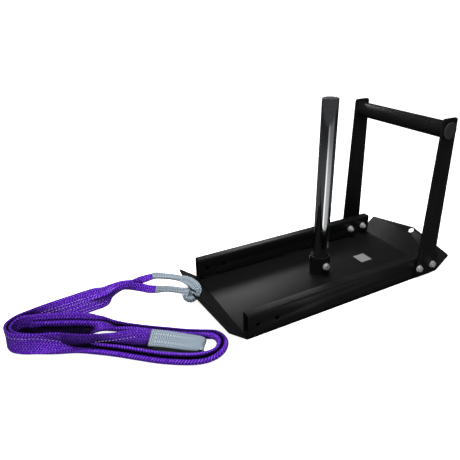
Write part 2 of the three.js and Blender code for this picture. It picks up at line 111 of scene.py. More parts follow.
# %% The strap's route
STRAP_ROUTE = [
    (-0.566, 0.186, 0.034, 80, 0.0135, 0.0058), (-0.604, 0.191, 0.035, 72, 0.0155, 0.0075),
    (-0.639, 0.184, 0.031, 68, 0.0210, 0.0070), (-0.664, 0.171, 0.028, 58, 0.0300, 0.0045),
    (-0.695, 0.168, 0.029, 55, 0.0325, 0.0040), (-0.752, 0.163, 0.029, 57, 0.0320, 0.0036),
    (-0.807, 0.16, 0.0295, 63, 0.0300, 0.0036), (-0.861, 0.155, 0.03, 78, 0.0280, 0.0036),
    (-0.9, 0.149, 0.029, 86, 0.0275, 0.0036), (-0.923, 0.13, 0.029, 90, 0.0275, 0.0036),
    (-0.928, 0.103, 0.0285, 92, 0.0275, 0.0036), (-0.917, 0.075, 0.0285, 98, 0.0275, 0.0036),
    (-0.893, 0.056, 0.028, 104, 0.0272, 0.0038), (-0.861, 0.041, 0.026, 112, 0.0260, 0.0050),
    (-0.812, 0.016, 0.018, 135, 0.0200, 0.0070), (-0.765, -0.008, 0.0155, 148, 0.0175, 0.0085),
    (-0.721, -0.039, 0.013, 157, 0.0159, 0.0096), (-0.678, -0.073, 0.013, 157, 0.0159, 0.0096),
    (-0.637, -0.109, 0.013, 157, 0.0159, 0.0096), (-0.596, -0.144, 0.013, 157, 0.0159, 0.0096),
    (-0.553, -0.174, 0.013, 157, 0.0159, 0.0096), (-0.52, -0.192, 0.013, 157, 0.0159, 0.0096),
    (-0.491, -0.2, 0.013, 157, 0.0159, 0.0096), (-0.465, -0.198, 0.0122, 170, 0.0157, 0.0098),
    (-0.445, -0.187, 0.0115, 176, 0.0157, 0.0098), (-0.432, -0.169, 0.0115, 176, 0.0157, 0.0098),
    (-0.43, -0.149, 0.0115, 176, 0.0157, 0.0098), (-0.437, -0.131, 0.0115, 176, 0.0157, 0.0098),
    (-0.452, -0.12, 0.0115, 180, 0.0155, 0.0104), (-0.474, -0.107, 0.0115, 180, 0.0155, 0.0104),
    (-0.508, -0.085, 0.0115, 180, 0.0155, 0.0104), (-0.541, -0.06, 0.0115, 180, 0.0155, 0.0104),
    (-0.576, -0.034, 0.0115, 180, 0.0155, 0.0104), (-0.61, -0.007, 0.0115, 180, 0.0155, 0.0104),
    (-0.645, 0.02, 0.012, 185, 0.0163, 0.0104), (-0.675, 0.038, 0.0175, 205, 0.0176, 0.0095),
    (-0.7, 0.05, 0.0238, 224, 0.0225, 0.0062), (-0.725, 0.059, 0.0272, 240, 0.0282, 0.0046),
    (-0.762, 0.077, 0.03, 246, 0.0300, 0.0038), (-0.806, 0.1, 0.0298, 248, 0.0300, 0.0036),
    (-0.853, 0.124, 0.0292, 254, 0.0285, 0.0036), (-0.888, 0.141, 0.028, 262, 0.0262, 0.0036),
    (-0.909, 0.133, 0.026, 270, 0.0252, 0.0036), (-0.917, 0.112, 0.026, 270, 0.0252, 0.0036),
    (-0.907, 0.087, 0.026, 270, 0.0252, 0.0036), (-0.866, 0.055, 0.026, 270, 0.0252, 0.0036),
    (-0.815, 0.031, 0.0262, 270, 0.0253, 0.0036), (-0.77, -0.001, 0.0267, 270, 0.0258, 0.0036),
    (-0.738, -0.018, 0.0258, 273, 0.0250, 0.0038), (-0.713, -0.023, 0.0236, 280, 0.0219, 0.0046),
    (-0.688, -0.035, 0.0229, 294, 0.0204, 0.0058), (-0.664, -0.048, 0.0255, 308, 0.0230, 0.0058),
    (-0.625, -0.064, 0.0275, 324, 0.0238, 0.0054), (-0.588, -0.086, 0.0245, 328, 0.0240, 0.0050),
]
print("strap rows:", len(STRAP_ROUTE))

# %% [markdown]
# A route's rows are too few to look woven and soft, so a smooth curve is drawn through them. Each ring
# then needs two directions of its own: across the strap's width and through its thickness.

# %% A smooth route and its directions
def smooth_rows(rows, spacing):
    """The rows again, about spacing apart, on a smooth curve through the given ones."""
    rows = np.array(rows, float)
    steps = np.linalg.norm(np.diff(rows[:, :3], axis=0), axis=1)
    at = np.concatenate([[0], np.cumsum(steps)])
    slopes = np.empty_like(rows)
    slopes[1:-1] = (rows[2:] - rows[:-2]) / (at[2:] - at[:-2])[:, None]
    slopes[0], slopes[-1] = (rows[1] - rows[0]) / steps[0], (rows[-1] - rows[-2]) / steps[-1]
    wanted = np.linspace(0, at[-1], int(at[-1] / spacing) + 1)
    span = np.clip(np.searchsorted(at, wanted, side="right") - 1, 0, len(steps) - 1)
    gap = steps[span][:, None]
    t = (wanted - at[span])[:, None] / gap
    return (
        (2 * t**3 - 3 * t**2 + 1) * rows[span] + (t**3 - 2 * t**2 + t) * gap * slopes[span]
        + (-2 * t**3 + 3 * t**2) * rows[span + 1] + (t**3 - t**2) * gap * slopes[span + 1]
    )


def length_of(middle):
    """The length of a middle line, in metres."""
    return float(np.linalg.norm(np.diff(middle, axis=0), axis=1).sum())


def distance_along(middle):
    """How far each point of a middle line is from its start."""
    return np.concatenate([[0], np.cumsum(np.linalg.norm(np.diff(middle, axis=0), axis=1))])


def unit(vectors):
    """The same directions, each one metre long."""
    return vectors / np.maximum(np.linalg.norm(vectors, axis=-1, keepdims=True), 1e-12)


def leaning_directions(middle, lean):
    """Across and through directions of a band that leans by these degrees from lying flat."""
    along = unit(np.gradient(middle, axis=0))
    flat = unit(np.stack([along[:, 1], -along[:, 0], np.zeros(len(along))], axis=1))
    angle = np.radians(-lean)[:, None]
    across = flat * np.cos(angle) + np.cross(along, flat) * np.sin(angle)
    return across, np.cross(along, across)


strap_rows = smooth_rows(STRAP_ROUTE, spacing=0.005)
strap_middle = strap_rows[:, :3]
strap_across, strap_through = leaning_directions(strap_middle, strap_rows[:, 3])
strap_length = length_of(strap_middle)
print("strap length:", round(strap_length, 3), "rings:", len(strap_middle))

# %% [markdown]
# The section of the two plies is a thin arch. Its middle line keeps its length as it bends, so a narrow
# stretch is a deep trough whose rims curl in, and a wide one is flat. Each ply has its own rounded edge,
# and the groove between the two edges is the dark line that a real sling shows along its side.
# Pleats run along the cloth where it was folded lengthwise. A row of them holds where a pleat starts and
# stops along the strap, its place across, how deep it is drawn in and half its width.

# %% The section of two sewn plies
HALF_STRAP = 0.0275
HALF_PLIES = 0.0031
EDGE_REACH = 0.0012
PLY_EDGE = [(0.90, 0.55), (0.62, 1.0), (0.34, 0.72), (0.0, -1.3), (-0.34, 0.72), (-0.62, 1.0), (-0.90, 0.55)]
FACE_POINTS = 31
NARROWED = [0.0140, 0.0155, 0.0163, 0.0180, 0.0200, 0.0225, 0.0250, 0.0275, 0.0340]
BENDS = [2.90, 2.78, 2.55, 2.10, 1.70, 1.25, 0.75, 0.08, 0.06]
LEAST_RISE = 0.0002
PLEAT_FADE = 0.03
EDGE_START, EDGE_WIDTH = 0.001, 0.003


def arched_middle(half_width, half_height):
    """The middle line of a bent section as offsets across and through, its tangents and its normals."""
    bend = float(np.interp(half_width, NARROWED, BENDS))
    turn = np.linspace(-bend, bend, FACE_POINTS)
    reach = half_width - EDGE_REACH - (HALF_PLIES - EDGE_REACH) * min(bend / (math.pi / 2), 1)
    rise = max(2 * (half_height - HALF_PLIES), LEAST_RISE)
    widest = math.sin(min(bend, math.pi / 2))
    lift = (1 - np.cos(turn)) / (1 - math.cos(bend)) * rise
    line = np.stack([reach * np.sin(turn) / widest, lift - rise / 2], axis=1)
    tangent = unit(np.gradient(line, axis=0))
    return line, tangent, np.stack([-tangent[:, 1], tangent[:, 0]], axis=1)


PLEATS = [
    (0.045, 0.150, 0.0020, 0.0110, 0.0055), (1.310, 1.560, -0.0105, 0.0085, 0.0024),
    (1.375, 1.560, 0.0120, 0.0130, 0.0075),
]


def pleat_depths(at, place):
    """How far the cloth is drawn in, at a distance along the strap, for places across it."""
    depth = np.zeros(len(place))
    for start, stop, middle, deepest, half in PLEATS:
        fade = np.clip(min(at - start, stop - at) / PLEAT_FADE, 0, 1)
        depth += deepest * fade * np.exp(-(((place - middle) / half) ** 2))
    return depth


def plies_section(half_width, half_height, at=-1.0):
    """The outline of both plies, and each point's place across the strap for its pattern."""
    line, tangent, normal = arched_middle(half_width, half_height)
    place = np.linspace(-HALF_STRAP, HALF_STRAP, FACE_POINTS)
    depth = pleat_depths(at, place)
    if depth.max() > 0:
        line = line - normal * depth[:, None]
        tangent = unit(np.gradient(line, axis=0))
        normal = np.stack([-tangent[:, 1], tangent[:, 0]], axis=1)
    outline, across = [], []
    for face, order in ((1, range(FACE_POINTS)), (-1, range(FACE_POINTS - 1, -1, -1))):
        for j in order:
            outline.append(line[j] + normal[j] * HALF_PLIES * face)
            across.append(place[j])
        end = FACE_POINTS - 1 if face > 0 else 0
        outward = tangent[end] * face
        for level, out in PLY_EDGE:
            outline.append(line[end] + normal[end] * HALF_PLIES * level * face + outward * EDGE_REACH * out)
            across.append(place[end] + face * (EDGE_START + EDGE_WIDTH * (0.9 - abs(level))))
    return np.array(outline), np.array(across)


outline, _ = plies_section(0.018, 0.0104)
print("section points:", len(outline), "size:", np.round(np.ptp(outline, axis=0), 4))

# %% [markdown]
# Skinning joins ring to ring with four-sided faces. The same faces carry a UV map in metres: U runs along
# the cloth and V across it, so a weave drawn in UV follows every fold without stretching.

# %% Skinning a run of rings
def new_piece(name, mesh):
    """An object in the scene that carries this mesh."""
    mesh.name = name
    piece = bpy.data.objects.new(name, mesh)
    bpy.context.scene.collection.objects.link(piece)
    return piece


def skin(name, middle, across, through, sections):
    """A closed mesh through one section for each ring, with a UV map in metres."""
    points, places = [], []
    for i, (outline, place) in enumerate(sections):
        points.append(middle[i] + outline[:, :1] * across[i] + outline[:, 1:] * through[i])
        places.append(place)
    rings, around = len(points), len(points[0])
    at = distance_along(middle)
    faces, uvs = [], []
    for i in range(rings - 1):
        for j in range(around):
            k = (j + 1) % around
            faces.append((i * around + j, (i + 1) * around + j, (i + 1) * around + k, i * around + k))
            end = places[i][k] if k else places[i][j]
            uvs += [(at[i], places[i][j]), (at[i + 1], places[i][j]), (at[i + 1], end), (at[i], end)]
    faces.append(tuple(range(around)))
    faces.append(tuple((rings - 1) * around + j for j in reversed(range(around))))
    uvs += [(at[0], v) for v in places[0]] + [(at[-1], v) for v in reversed(places[-1])]
    mesh = bpy.data.meshes.new(name)
    mesh.from_pydata(np.concatenate(points).tolist(), [], faces)
    layer = mesh.uv_layers.new(name="cloth")
    layer.data.foreach_set("uv", np.array(uvs, np.float32).ravel())
    mesh.update()
    piece = new_piece(name, mesh)
    smooth_and_outward(piece)
    return piece


def only(piece):
    """Makes one piece the selected and active one, in object mode."""
    if bpy.context.object and bpy.context.object.mode != "OBJECT":
        bpy.ops.object.mode_set(mode="OBJECT")
    bpy.ops.object.select_all(action="DESELECT")
    piece.select_set(True)
    bpy.context.view_layer.objects.active = piece


def smooth_and_outward(piece, angle=40):
    """Turns all faces outwards, and shades them smooth where they meet at less than this angle."""
    only(piece)
    bpy.ops.object.mode_set(mode="EDIT")
    bpy.ops.mesh.select_all(action="SELECT")
    bpy.ops.mesh.normals_make_consistent(inside=False)
    bpy.ops.object.mode_set(mode="OBJECT")
    bpy.ops.object.shade_smooth_by_angle(angle=math.radians(angle))


strap_at = np.linspace(0, strap_length, len(strap_rows))
strap_sections = [plies_section(row[4], row[5], at) for row, at in zip(strap_rows, strap_at)]
strap = skin("tow_strap", strap_middle, strap_across, strap_through, strap_sections)
print(strap.name, "faces:", len(strap.data.polygons))

# %% [markdown]
# ## The eye at the sled
# At the eye the two plies part, and each is folded to half its width. Two short purple legs run into one
# long grey wear sleeve, which goes through the tray's lip, bunches up in the hole and comes back round.
# The part that bunches up most hangs in front of the hole, as a short curl of its own. A folded ply and a
# sleeve both have a soft oval section, so one rounded outline serves them all.

# %% The legs of the eye
LEG_UPPER_ROUTE = [
    (-0.578, 0.1880, 0.0350, 80, 0.0118, 0.0045), (-0.5651, 0.1885, 0.0352, 92, 0.0120, 0.0042),
    (-0.5572, 0.1884, 0.0362, 104, 0.0120, 0.0040), (-0.545, 0.187, 0.039, 125, 0.0120, 0.0038),
    (-0.521, 0.184, 0.042, 150, 0.0120, 0.0040), (-0.503, 0.178, 0.0463, 162, 0.0115, 0.0038),
]
LEG_LOWER_ROUTE = [
    (-0.596, 0.1905, 0.0285, 78, 0.0110, 0.0030), (-0.578, 0.1850, 0.0270, 88, 0.0120, 0.0032),
    (-0.562, 0.1770, 0.0262, 104, 0.0130, 0.0034), (-0.549, 0.168, 0.025, 118, 0.0130, 0.0035),
    (-0.529, 0.149, 0.0235, 132, 0.0125, 0.0038), (-0.508, 0.124, 0.0305, 132, 0.0115, 0.0038),
]


def oval_section(half_width, half_height, sides=32, squareness=3.2, creases=0.0, phase=0.0):
    """A soft oval with creases if it is bunched up, and each point's place across for its pattern."""
    turn = np.linspace(0, 2 * math.pi, sides, endpoint=False)
    c, s = np.cos(turn), np.sin(turn)
    bulge = 1 + creases * np.sin(5 * turn + phase)
    a = half_width * np.sign(c) * np.abs(c) ** (2 / squareness) * bulge
    b = half_height * np.sign(s) * np.abs(s) ** (2 / squareness) * bulge
    return np.stack([a, b], axis=1), a


def leg(name, route):
    """A soft oval band along a route, for what is too short to need folds."""
    rows = smooth_rows(route, spacing=0.003)
    across, through = leaning_directions(rows[:, :3], rows[:, 3])
    sections = [oval_section(row[4], row[5]) for row in rows]
    return skin(name, rows[:, :3], across, through, sections)


leg_upper = leg("eye_leg_upper", LEG_UPPER_ROUTE)
leg_lower = leg("eye_leg_lower", LEG_LOWER_ROUTE)
print("legs:", len(leg_upper.data.polygons) + len(leg_lower.data.polygons), "faces")

# %% [markdown]
# The sleeve is gathered where it squeezes through the hole. The height in its rows tells how much: past
# the height of its flat stretch the oval grows round and gets five creases, and these turn a little from
# ring to ring, so they wind along the bundle as gathered cloth does.

# %% The sleeve through the lip
SLEEVE_ROUTE = [
    (-0.5065, 0.1794, 0.0456, 162, 0.0125, 0.0052), (-0.4991, 0.1770, 0.0475, 162, 0.0125, 0.0050),
    (-0.4820, 0.1590, 0.0510, 168, 0.0118, 0.0046), (-0.4600, 0.1300, 0.0570, 172, 0.0116, 0.0048),
    (-0.4432, 0.0960, 0.0650, 176, 0.0124, 0.0054), (-0.4345, 0.0640, 0.0728, 178, 0.0144, 0.0078),
    (-0.4300, 0.0390, 0.0750, 180, 0.0146, 0.0105), (-0.4266, 0.0180, 0.0730, 180, 0.0140, 0.0102),
    (-0.4252, 0.0050, 0.0690, 180, 0.0098, 0.0084), (-0.4276, 0.0010, 0.0635, 180, 0.0078, 0.0074),
    (-0.4321, 0.0000, 0.0566, 180, 0.0078, 0.0076), (-0.4374, 0.0060, 0.0608, 190, 0.0105, 0.0085),
    (-0.4454, 0.0220, 0.0620, 205, 0.0105, 0.0075), (-0.4577, 0.0450, 0.0558, 220, 0.0090, 0.0052),
    (-0.4760, 0.0720, 0.0503, 226, 0.0092, 0.0048), (-0.4900, 0.0980, 0.0419, 228, 0.0098, 0.0048),
    (-0.5066, 0.1227, 0.0307, 228, 0.0112, 0.0050), (-0.5117, 0.1286, 0.0291, 228, 0.0118, 0.0052),
]
CURL_ROUTE = [
    (-0.4285, 0.0020, 0.0615, 180, 0.0074, 0.0066), (-0.4360, -0.0002, 0.0565, 180, 0.0084, 0.0080),
    (-0.4430, -0.0010, 0.0523, 184, 0.0088, 0.0088), (-0.4524, 0.0014, 0.0509, 190, 0.0088, 0.0088),
    (-0.4603, 0.0064, 0.0559, 200, 0.0088, 0.0088), (-0.4610, 0.0113, 0.0625, 210, 0.0088, 0.0088),
    (-0.4537, 0.0162, 0.0641, 214, 0.0088, 0.0086), (-0.4443, 0.0200, 0.0630, 214, 0.0086, 0.0080),
]
sleeve_rows = smooth_rows(SLEEVE_ROUTE, spacing=0.002)
sleeve_middle = sleeve_rows[:, :3]
sleeve_across, sleeve_through = leaning_directions(sleeve_middle, sleeve_rows[:, 3])
FLAT_HEIGHT, BUNCHED_OVER = 0.0054, 0.0012
CREASE, CREASE_TURN = 0.17, 0.07
sleeve_sections = []
for number, row in enumerate(sleeve_rows):
    bunched = float(np.clip((row[5] - FLAT_HEIGHT) / BUNCHED_OVER, 0, 1))
    squareness = 3.2 - 1.2 * bunched
    sleeve_sections.append(
        oval_section(row[4], row[5], 40, squareness, creases=CREASE * bunched, phase=number * CREASE_TURN)
    )
sleeve = skin("eye_sleeve", sleeve_middle, sleeve_across, sleeve_through, sleeve_sections)
curl = leg("eye_sleeve_curl", CURL_ROUTE)

# %% [markdown]
# The other eye isn't hitched to anything, so its sleeve lies pressed flat: one layer above, a tight bend,
# and the same layer back below. A vertical bend has no level direction of its own at its turn, so here
# the direction across the band is held the same from end to end. So its rows have no lean: after the
# point of the middle line they hold half the width and half the height.

# %% The sleeve that lies flat
FLAT_EYE_ROUTE = [
    (-0.5985, -0.0800, 0.0290, 0.0242, 0.0040), (-0.5900, -0.0855, 0.0285, 0.0242, 0.0038),
    (-0.5685, -0.0986, 0.0268, 0.0240, 0.0036), (-0.5200, -0.1360, 0.0238, 0.0232, 0.0036),
    (-0.4960, -0.1528, 0.0222, 0.0222, 0.0036), (-0.4875, -0.1585, 0.0200, 0.0212, 0.0036),
    (-0.4850, -0.1622, 0.0150, 0.0208, 0.0036), (-0.4880, -0.1628, 0.0098, 0.0212, 0.0034),
    (-0.4985, -0.1590, 0.0075, 0.0222, 0.0033), (-0.5250, -0.1440, 0.0066, 0.0230, 0.0033),
    (-0.5745, -0.1095, 0.0066, 0.0232, 0.0033), (-0.6380, -0.0700, 0.0064, 0.0225, 0.0030),
]
flat_rows = smooth_rows(FLAT_EYE_ROUTE, spacing=0.0025)
flat_middle = flat_rows[:, :3]
flat_along = unit(np.gradient(flat_middle, axis=0))
heading = unit(np.array([0.83, -0.56, 0.0]))
toward_camera = np.array([heading[1], -heading[0], 0.0])
LAYER_HEIGHTS, LAYER_TILTS = [0.0070, 0.0220], [6, 22]
tilt = np.radians(np.interp(flat_rows[:, 2], LAYER_HEIGHTS, LAYER_TILTS))[:, None]
held_across = toward_camera * np.cos(tilt) - np.array([0, 0, 1.0]) * np.sin(tilt)
flat_through = unit(np.cross(flat_along, held_across))
flat_across = np.cross(flat_through, flat_along)
flat_sections = [oval_section(row[3], row[4], sides=40, squareness=4.5) for row in flat_rows]
flat_eye = skin("flat_eye_sleeve", flat_middle, flat_across, flat_through, flat_sections)
print("flat eye:", [round(v, 3) for v in flat_eye.dimensions])

# %% [markdown]
# ## Stitching
# A sling is held together by rows of pale thread. Drawn as a pattern they would lie inside the surface, so
# each stitch is a small rounded bar laid on the cloth: its ends dive in, and it catches the light.
# A row says where it starts and ends along the cloth, its place across and which face it is on.

# %% Laying stitches on a skinned band
STITCH = 0.0038
THREAD = 0.0007
THREAD_SIDES = 6
STITCH_ARCH = ((0.0, -0.7), (0.2, 0.5), (0.5, 0.9), (0.8, 0.5), (1.0, -0.7))


def lay_stitches(name, middle, across, through, sections, rows, spacing):
    """One mesh of stitches. A row is (from, to, share of the half width, face), in metres along."""
    at = distance_along(middle)
    points, faces = [], []
    for start, stop, share, face in rows:
        for near in np.arange(start, stop, spacing):
            spine = []
            for step, lift in STITCH_ARCH:
                i = int(np.clip(np.searchsorted(at, near + step * STITCH), 1, len(at) - 1))
                t = np.clip((near + step * STITCH - at[i - 1]) / (at[i] - at[i - 1]), 0, 1)
                spot = []
                for k in (i - 1, i):
                    outline = sections[k][0]
                    wanted = share * np.abs(outline[:, 0]).max()
                    side = outline[outline_faces(len(outline), face)]
                    j = np.argmin(np.abs(side[:, 0] - wanted))
                    raised = side[j, 1] + face * lift * THREAD
                    spot.append(middle[k] + across[k] * side[j, 0] + through[k] * raised)
                spine.append(spot[0] * (1 - t) + spot[1] * t)
            add_thread(points, faces, np.array(spine))
    mesh = bpy.data.meshes.new(name)
    mesh.from_pydata(points, [], faces)
    mesh.update()
    piece = new_piece(name, mesh)
    smooth_and_outward(piece, 80)
    return piece


def outline_faces(count, face):
    """Which outline points lie on the upper or the lower face of a band."""
    ply_points = FACE_POINTS + len(PLY_EDGE)
    if count == 2 * ply_points:
        return slice(0, FACE_POINTS) if face > 0 else slice(ply_points, ply_points + FACE_POINTS)
    return slice(1, count // 2) if face > 0 else slice(count // 2 + 1, count)


def add_thread(points, faces, spine):
    """Adds a round thread along a short spine."""
    run = unit(np.gradient(spine, axis=0))
    side = unit(np.cross(run, [0.31, 0.17, 0.93]))
    lift = np.cross(run, side)
    first = len(points)
    for i in range(len(spine)):
        for turn in np.arange(THREAD_SIDES) * math.pi / 3:
            outwards = side[i] * math.cos(turn) + lift[i] * math.sin(turn)
            points.append((spine[i] + THREAD * outwards).tolist())
    for i in range(len(spine) - 1):
        near, far = first + i * THREAD_SIDES, first + (i + 1) * THREAD_SIDES
        for j in range(THREAD_SIDES):
            k = (j + 1) % THREAD_SIDES
            faces.append((near + j, near + k, far + k, far + j))
    last = first + (len(spine) - 1) * THREAD_SIDES
    faces.append(tuple(first + j for j in range(THREAD_SIDES)))
    faces.append(tuple(last + j for j in reversed(range(THREAD_SIDES))))


STRAP_STITCHES = [
    (0.125, 0.275, 0.34, -1), (0.115, 0.265, 0.06, -1), (0.105, 0.255, -0.26, -1), (0.100, 0.220, -0.58, -1),
    (0.130, 0.175, -0.86, -1), (0.066, 0.088, 0.35, -1), (0.375, 0.560, 0.58, 1), (1.868, 1.972, -0.08, -1),
]
SLEEVE_STITCHES = [
    (0.008, 0.135, 0.62, 1), (0.008, 0.135, -0.62, 1), (0.255, 0.350, 0.62, 1), (0.255, 0.350, -0.62, 1),
]
FLAT_EYE_STITCHES = [
    (0.014, 0.122, 0.48, -1), (0.014, 0.122, -0.42, -1), (0.014, 0.015, 0.18, -1), (0.014, 0.015, -0.12, -1),
]
strap_stitches = lay_stitches(
    "strap_stitching", strap_middle, strap_across, strap_through, strap_sections,
    STRAP_STITCHES, spacing=0.0092,
)
sleeve_stitches = lay_stitches(
    "eye_sleeve_stitching", sleeve_middle, sleeve_across, sleeve_through, sleeve_sections,
    SLEEVE_STITCHES, spacing=0.0085,
)
flat_stitches = lay_stitches(
    "flat_eye_stitching", flat_middle, flat_across, flat_through, flat_sections,
    FLAT_EYE_STITCHES, spacing=0.0092,
)
print("stitch faces:", sum(len(p.data.polygons) for p in (strap_stitches, sleeve_stitches, flat_stitches)))

# %% [markdown]
# ## Painted shade in the folds
# Light hardly reaches the inside of a fold, and in the photograph it is nearly black there, darker than
# lamps alone would make it. So rays are sent out from each point of the cloth: the share of them that hits
# cloth nearby is stored with the point, and the finish paints that much shade into the cloth's colour.
# The rays' directions are fixed, so each run gives the same shares.

# %% Measuring the hollows
ABOVE_CLOTH = 0.0006


def half_sphere(count):
    """Directions over a half sphere round +Z, crowded toward its top as light on a flat face is."""
    number = (np.arange(count) + 0.5) / count
    turn = np.arange(count) * math.pi * (3 - math.sqrt(5))
    level = np.sqrt(number)
    return np.stack([level * np.cos(turn), level * np.sin(turn), np.sqrt(1 - number)], axis=1)


def store_hollows(pieces, reach=0.060, rays=20):
    """Stores with each point the share of its rays that hits cloth within reach."""
    points, faces = [], []
    for piece in pieces:
        first = len(points)
        points += [point.co.copy() for point in piece.data.vertices]
        faces += [[first + i for i in face.vertices] for face in piece.data.polygons]
    cloth = BVHTree.FromPolygons(points, faces)
    rosette = half_sphere(rays)
    for piece in pieces:
        shares = []
        for point in piece.data.vertices:
            normal = np.array(point.normal)
            side = unit(np.cross(normal, [0.36, 0.48, 0.80]))
            spread = rosette @ np.stack([side, np.cross(normal, side), normal])
            start = point.co + point.normal * ABOVE_CLOTH
            hits = [cloth.ray_cast(start, ray, reach)[0] is not None for ray in spread.tolist()]
            shares.append(sum(hits) / rays)
        layer = piece.data.attributes.new("hollow", "FLOAT", "POINT")
        layer.data.foreach_set("value", np.array(shares, np.float32))
        print(piece.name, "mean hollow:", round(float(np.mean(shares)), 2))


store_hollows([strap, leg_upper, leg_lower, sleeve, curl, flat_eye])

# %% [markdown]
# Two places are darker in the photograph than their own folds explain, so more painted shade is added to
# them: the strap's last stretch, all over, and the lower ply of the stretch behind it, which lies in its
# shadow.

# %% Painted shade in two places
LAST_STRETCH, LAST_STRETCH_SHADE = 1.78, 0.20
SHADED_FROM, SHADED_TO, LOWER_PLY_SHADE = 1.370, 1.630, 0.40
SHADE_FADE = 0.03
LOWER_PLY, LOWER_PLY_FADE = 0.007, 0.004

section_points = len(strap_sections[0][0])
hollow = strap.data.attributes["hollow"]
# painted shade: more shade share on the last stretch and on the lower ply behind it
for i, value in enumerate(hollow.data):
    ring, number = divmod(i, section_points)
    at, place = strap_at[ring], strap_sections[ring][1][number]
    if at > LAST_STRETCH:
        value.value += LAST_STRETCH_SHADE
    shaded = np.clip(min(at - SHADED_FROM, SHADED_TO - at) / SHADE_FADE, 0, 1)
    lower = np.clip((place - LOWER_PLY) / LOWER_PLY_FADE, 0, 1)
    value.value += LOWER_PLY_SHADE * float(shaded * lower)
print("strap's mean hollow now:", round(float(np.mean([value.value for value in hollow.data])), 2))

# %% [markdown]
# ## The strap's pieces in the sled
# Each strap piece joins the sled's root body, and the solid from the model that it stands for is hidden.
# The stitches and the curl join the root body too.

# %% Strap pieces and what rides with them
for piece, slot, node in (
    (strap, "strap_webbing", "strap_body"), (leg_upper, "strap_webbing", "strap_leg_upper"),
    (leg_lower, "strap_webbing", "strap_leg_lower"), (sleeve, "strap_sleeving", "sleeve_near"),
    (flat_eye, "strap_sleeving", "sleeve_far"),
):
    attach(piece, "root")
    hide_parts(node)
for piece in (strap_stitches, sleeve_stitches, flat_stitches, curl):
    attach(piece, "root")

# %% [markdown]
# ## Shader groups
# A material here is a few shared effects with its own numbers. Each effect is a node group, built once.
# The first is a grain: fine noise as a height, a slow noise as a mask and scattered specks, for coats and
# cast plastic.

# %% Group: grain
def node(tree, kind, inputs=(), **settings):
    """Adds a node, sets its settings, and links or fills its inputs by position or name."""
    made = tree.nodes.new(kind)
    for key, value in settings.items():
        setattr(made, key, value)
    for key, value in dict(inputs).items():
        if isinstance(value, bpy.types.NodeSocket):
            tree.links.new(value, made.inputs[key])
        else:
            made.inputs[key].default_value = value
    return made


def maths(tree, operation, first, second=0.0, third=0.0):
    """The result of one sum on values that change over the surface."""
    return node(tree, "ShaderNodeMath", {0: first, 1: second, 2: third}, operation=operation).outputs[0]


def ramp(tree, value, start, full, low=0.0, high=1.0):
    """Low where a value is at start, high where it is at full, and evenly between."""
    return node(tree, "ShaderNodeMapRange", {0: value, 1: start, 2: full, 3: low, 4: high}).outputs[0]


def object_place(tree):
    """The point's own place in metres, for patterns that stay fixed to a piece."""
    return node(tree, "ShaderNodeTexCoord").outputs["Object"]


def noise(tree, at, scale, detail):
    """Soft noise between zero and one."""
    return node(tree, "ShaderNodeTexNoise", {"Vector": at, "Scale": scale, "Detail": detail}).outputs[0]


def effect(name, inputs, outputs):
    """An empty node group with these named float inputs and outputs, and its two end nodes."""
    tree = bpy.data.node_groups.new(name, "ShaderNodeTree")
    for label, value in inputs:
        socket = tree.interface.new_socket(label, in_out="INPUT", socket_type="NodeSocketFloat")
        socket.default_value = value
    for label, kind in outputs:
        tree.interface.new_socket(label, in_out="OUTPUT", socket_type=kind)
    return tree, tree.nodes.new("NodeGroupInput"), tree.nodes.new("NodeGroupOutput")


grain, given, result = effect(
    "grain", [("Fine scale", 900.0), ("Slow scale", 9.0)],
    [("Height", "NodeSocketFloat"), ("Cloud", "NodeSocketFloat"), ("Speck", "NodeSocketFloat")],
)
SPECK_SIZE = 0.07
coords = object_place(grain)
cell_scale = maths(grain, "MULTIPLY", given.outputs["Slow scale"], 8.0)
cells = node(grain, "ShaderNodeTexVoronoi", {"Vector": coords, "Scale": cell_scale})
speck = maths(grain, "LESS_THAN", cells.outputs["Distance"], SPECK_SIZE)
fine = noise(grain, coords, given.outputs["Fine scale"], detail=2.0)
slow = noise(grain, coords, given.outputs["Slow scale"], detail=3.0)
grain.links.new(fine, result.inputs["Height"])
grain.links.new(slow, result.inputs["Cloud"])
grain.links.new(speck, result.inputs["Speck"])
print("group", grain.name, "nodes:", len(grain.nodes))

# %% [markdown]
# The second effect is rubbed edges. A Bevel node gives the normal that an edge would have if it were
# rounder. Where it differs from the true normal there is an edge, and a noise breaks the mask up.

# %% Group: rubbed edges
rubbed, given, result = effect(
    "rubbed_edges", [("Reach", 0.0015), ("Patch scale", 45.0)], [("Mask", "NodeSocketFloat")]
)
round_normal = node(rubbed, "ShaderNodeBevel", {"Radius": given.outputs["Reach"]}, samples=4).outputs[0]
true_normal = node(rubbed, "ShaderNodeNewGeometry").outputs["Normal"]
both_normals = {0: round_normal, 1: true_normal}
agree = node(rubbed, "ShaderNodeVectorMath", both_normals, operation="DOT_PRODUCT").outputs["Value"]
edge = ramp(rubbed, agree, start=0.995, full=0.85)
patch = noise(rubbed, object_place(rubbed), given.outputs["Patch scale"], detail=4.0)
patches = ramp(rubbed, patch, start=0.48, full=0.70)
rubbed.links.new(maths(rubbed, "MULTIPLY", edge, patches), result.inputs["Mask"])
print("group", rubbed.name, "nodes:", len(rubbed.nodes))
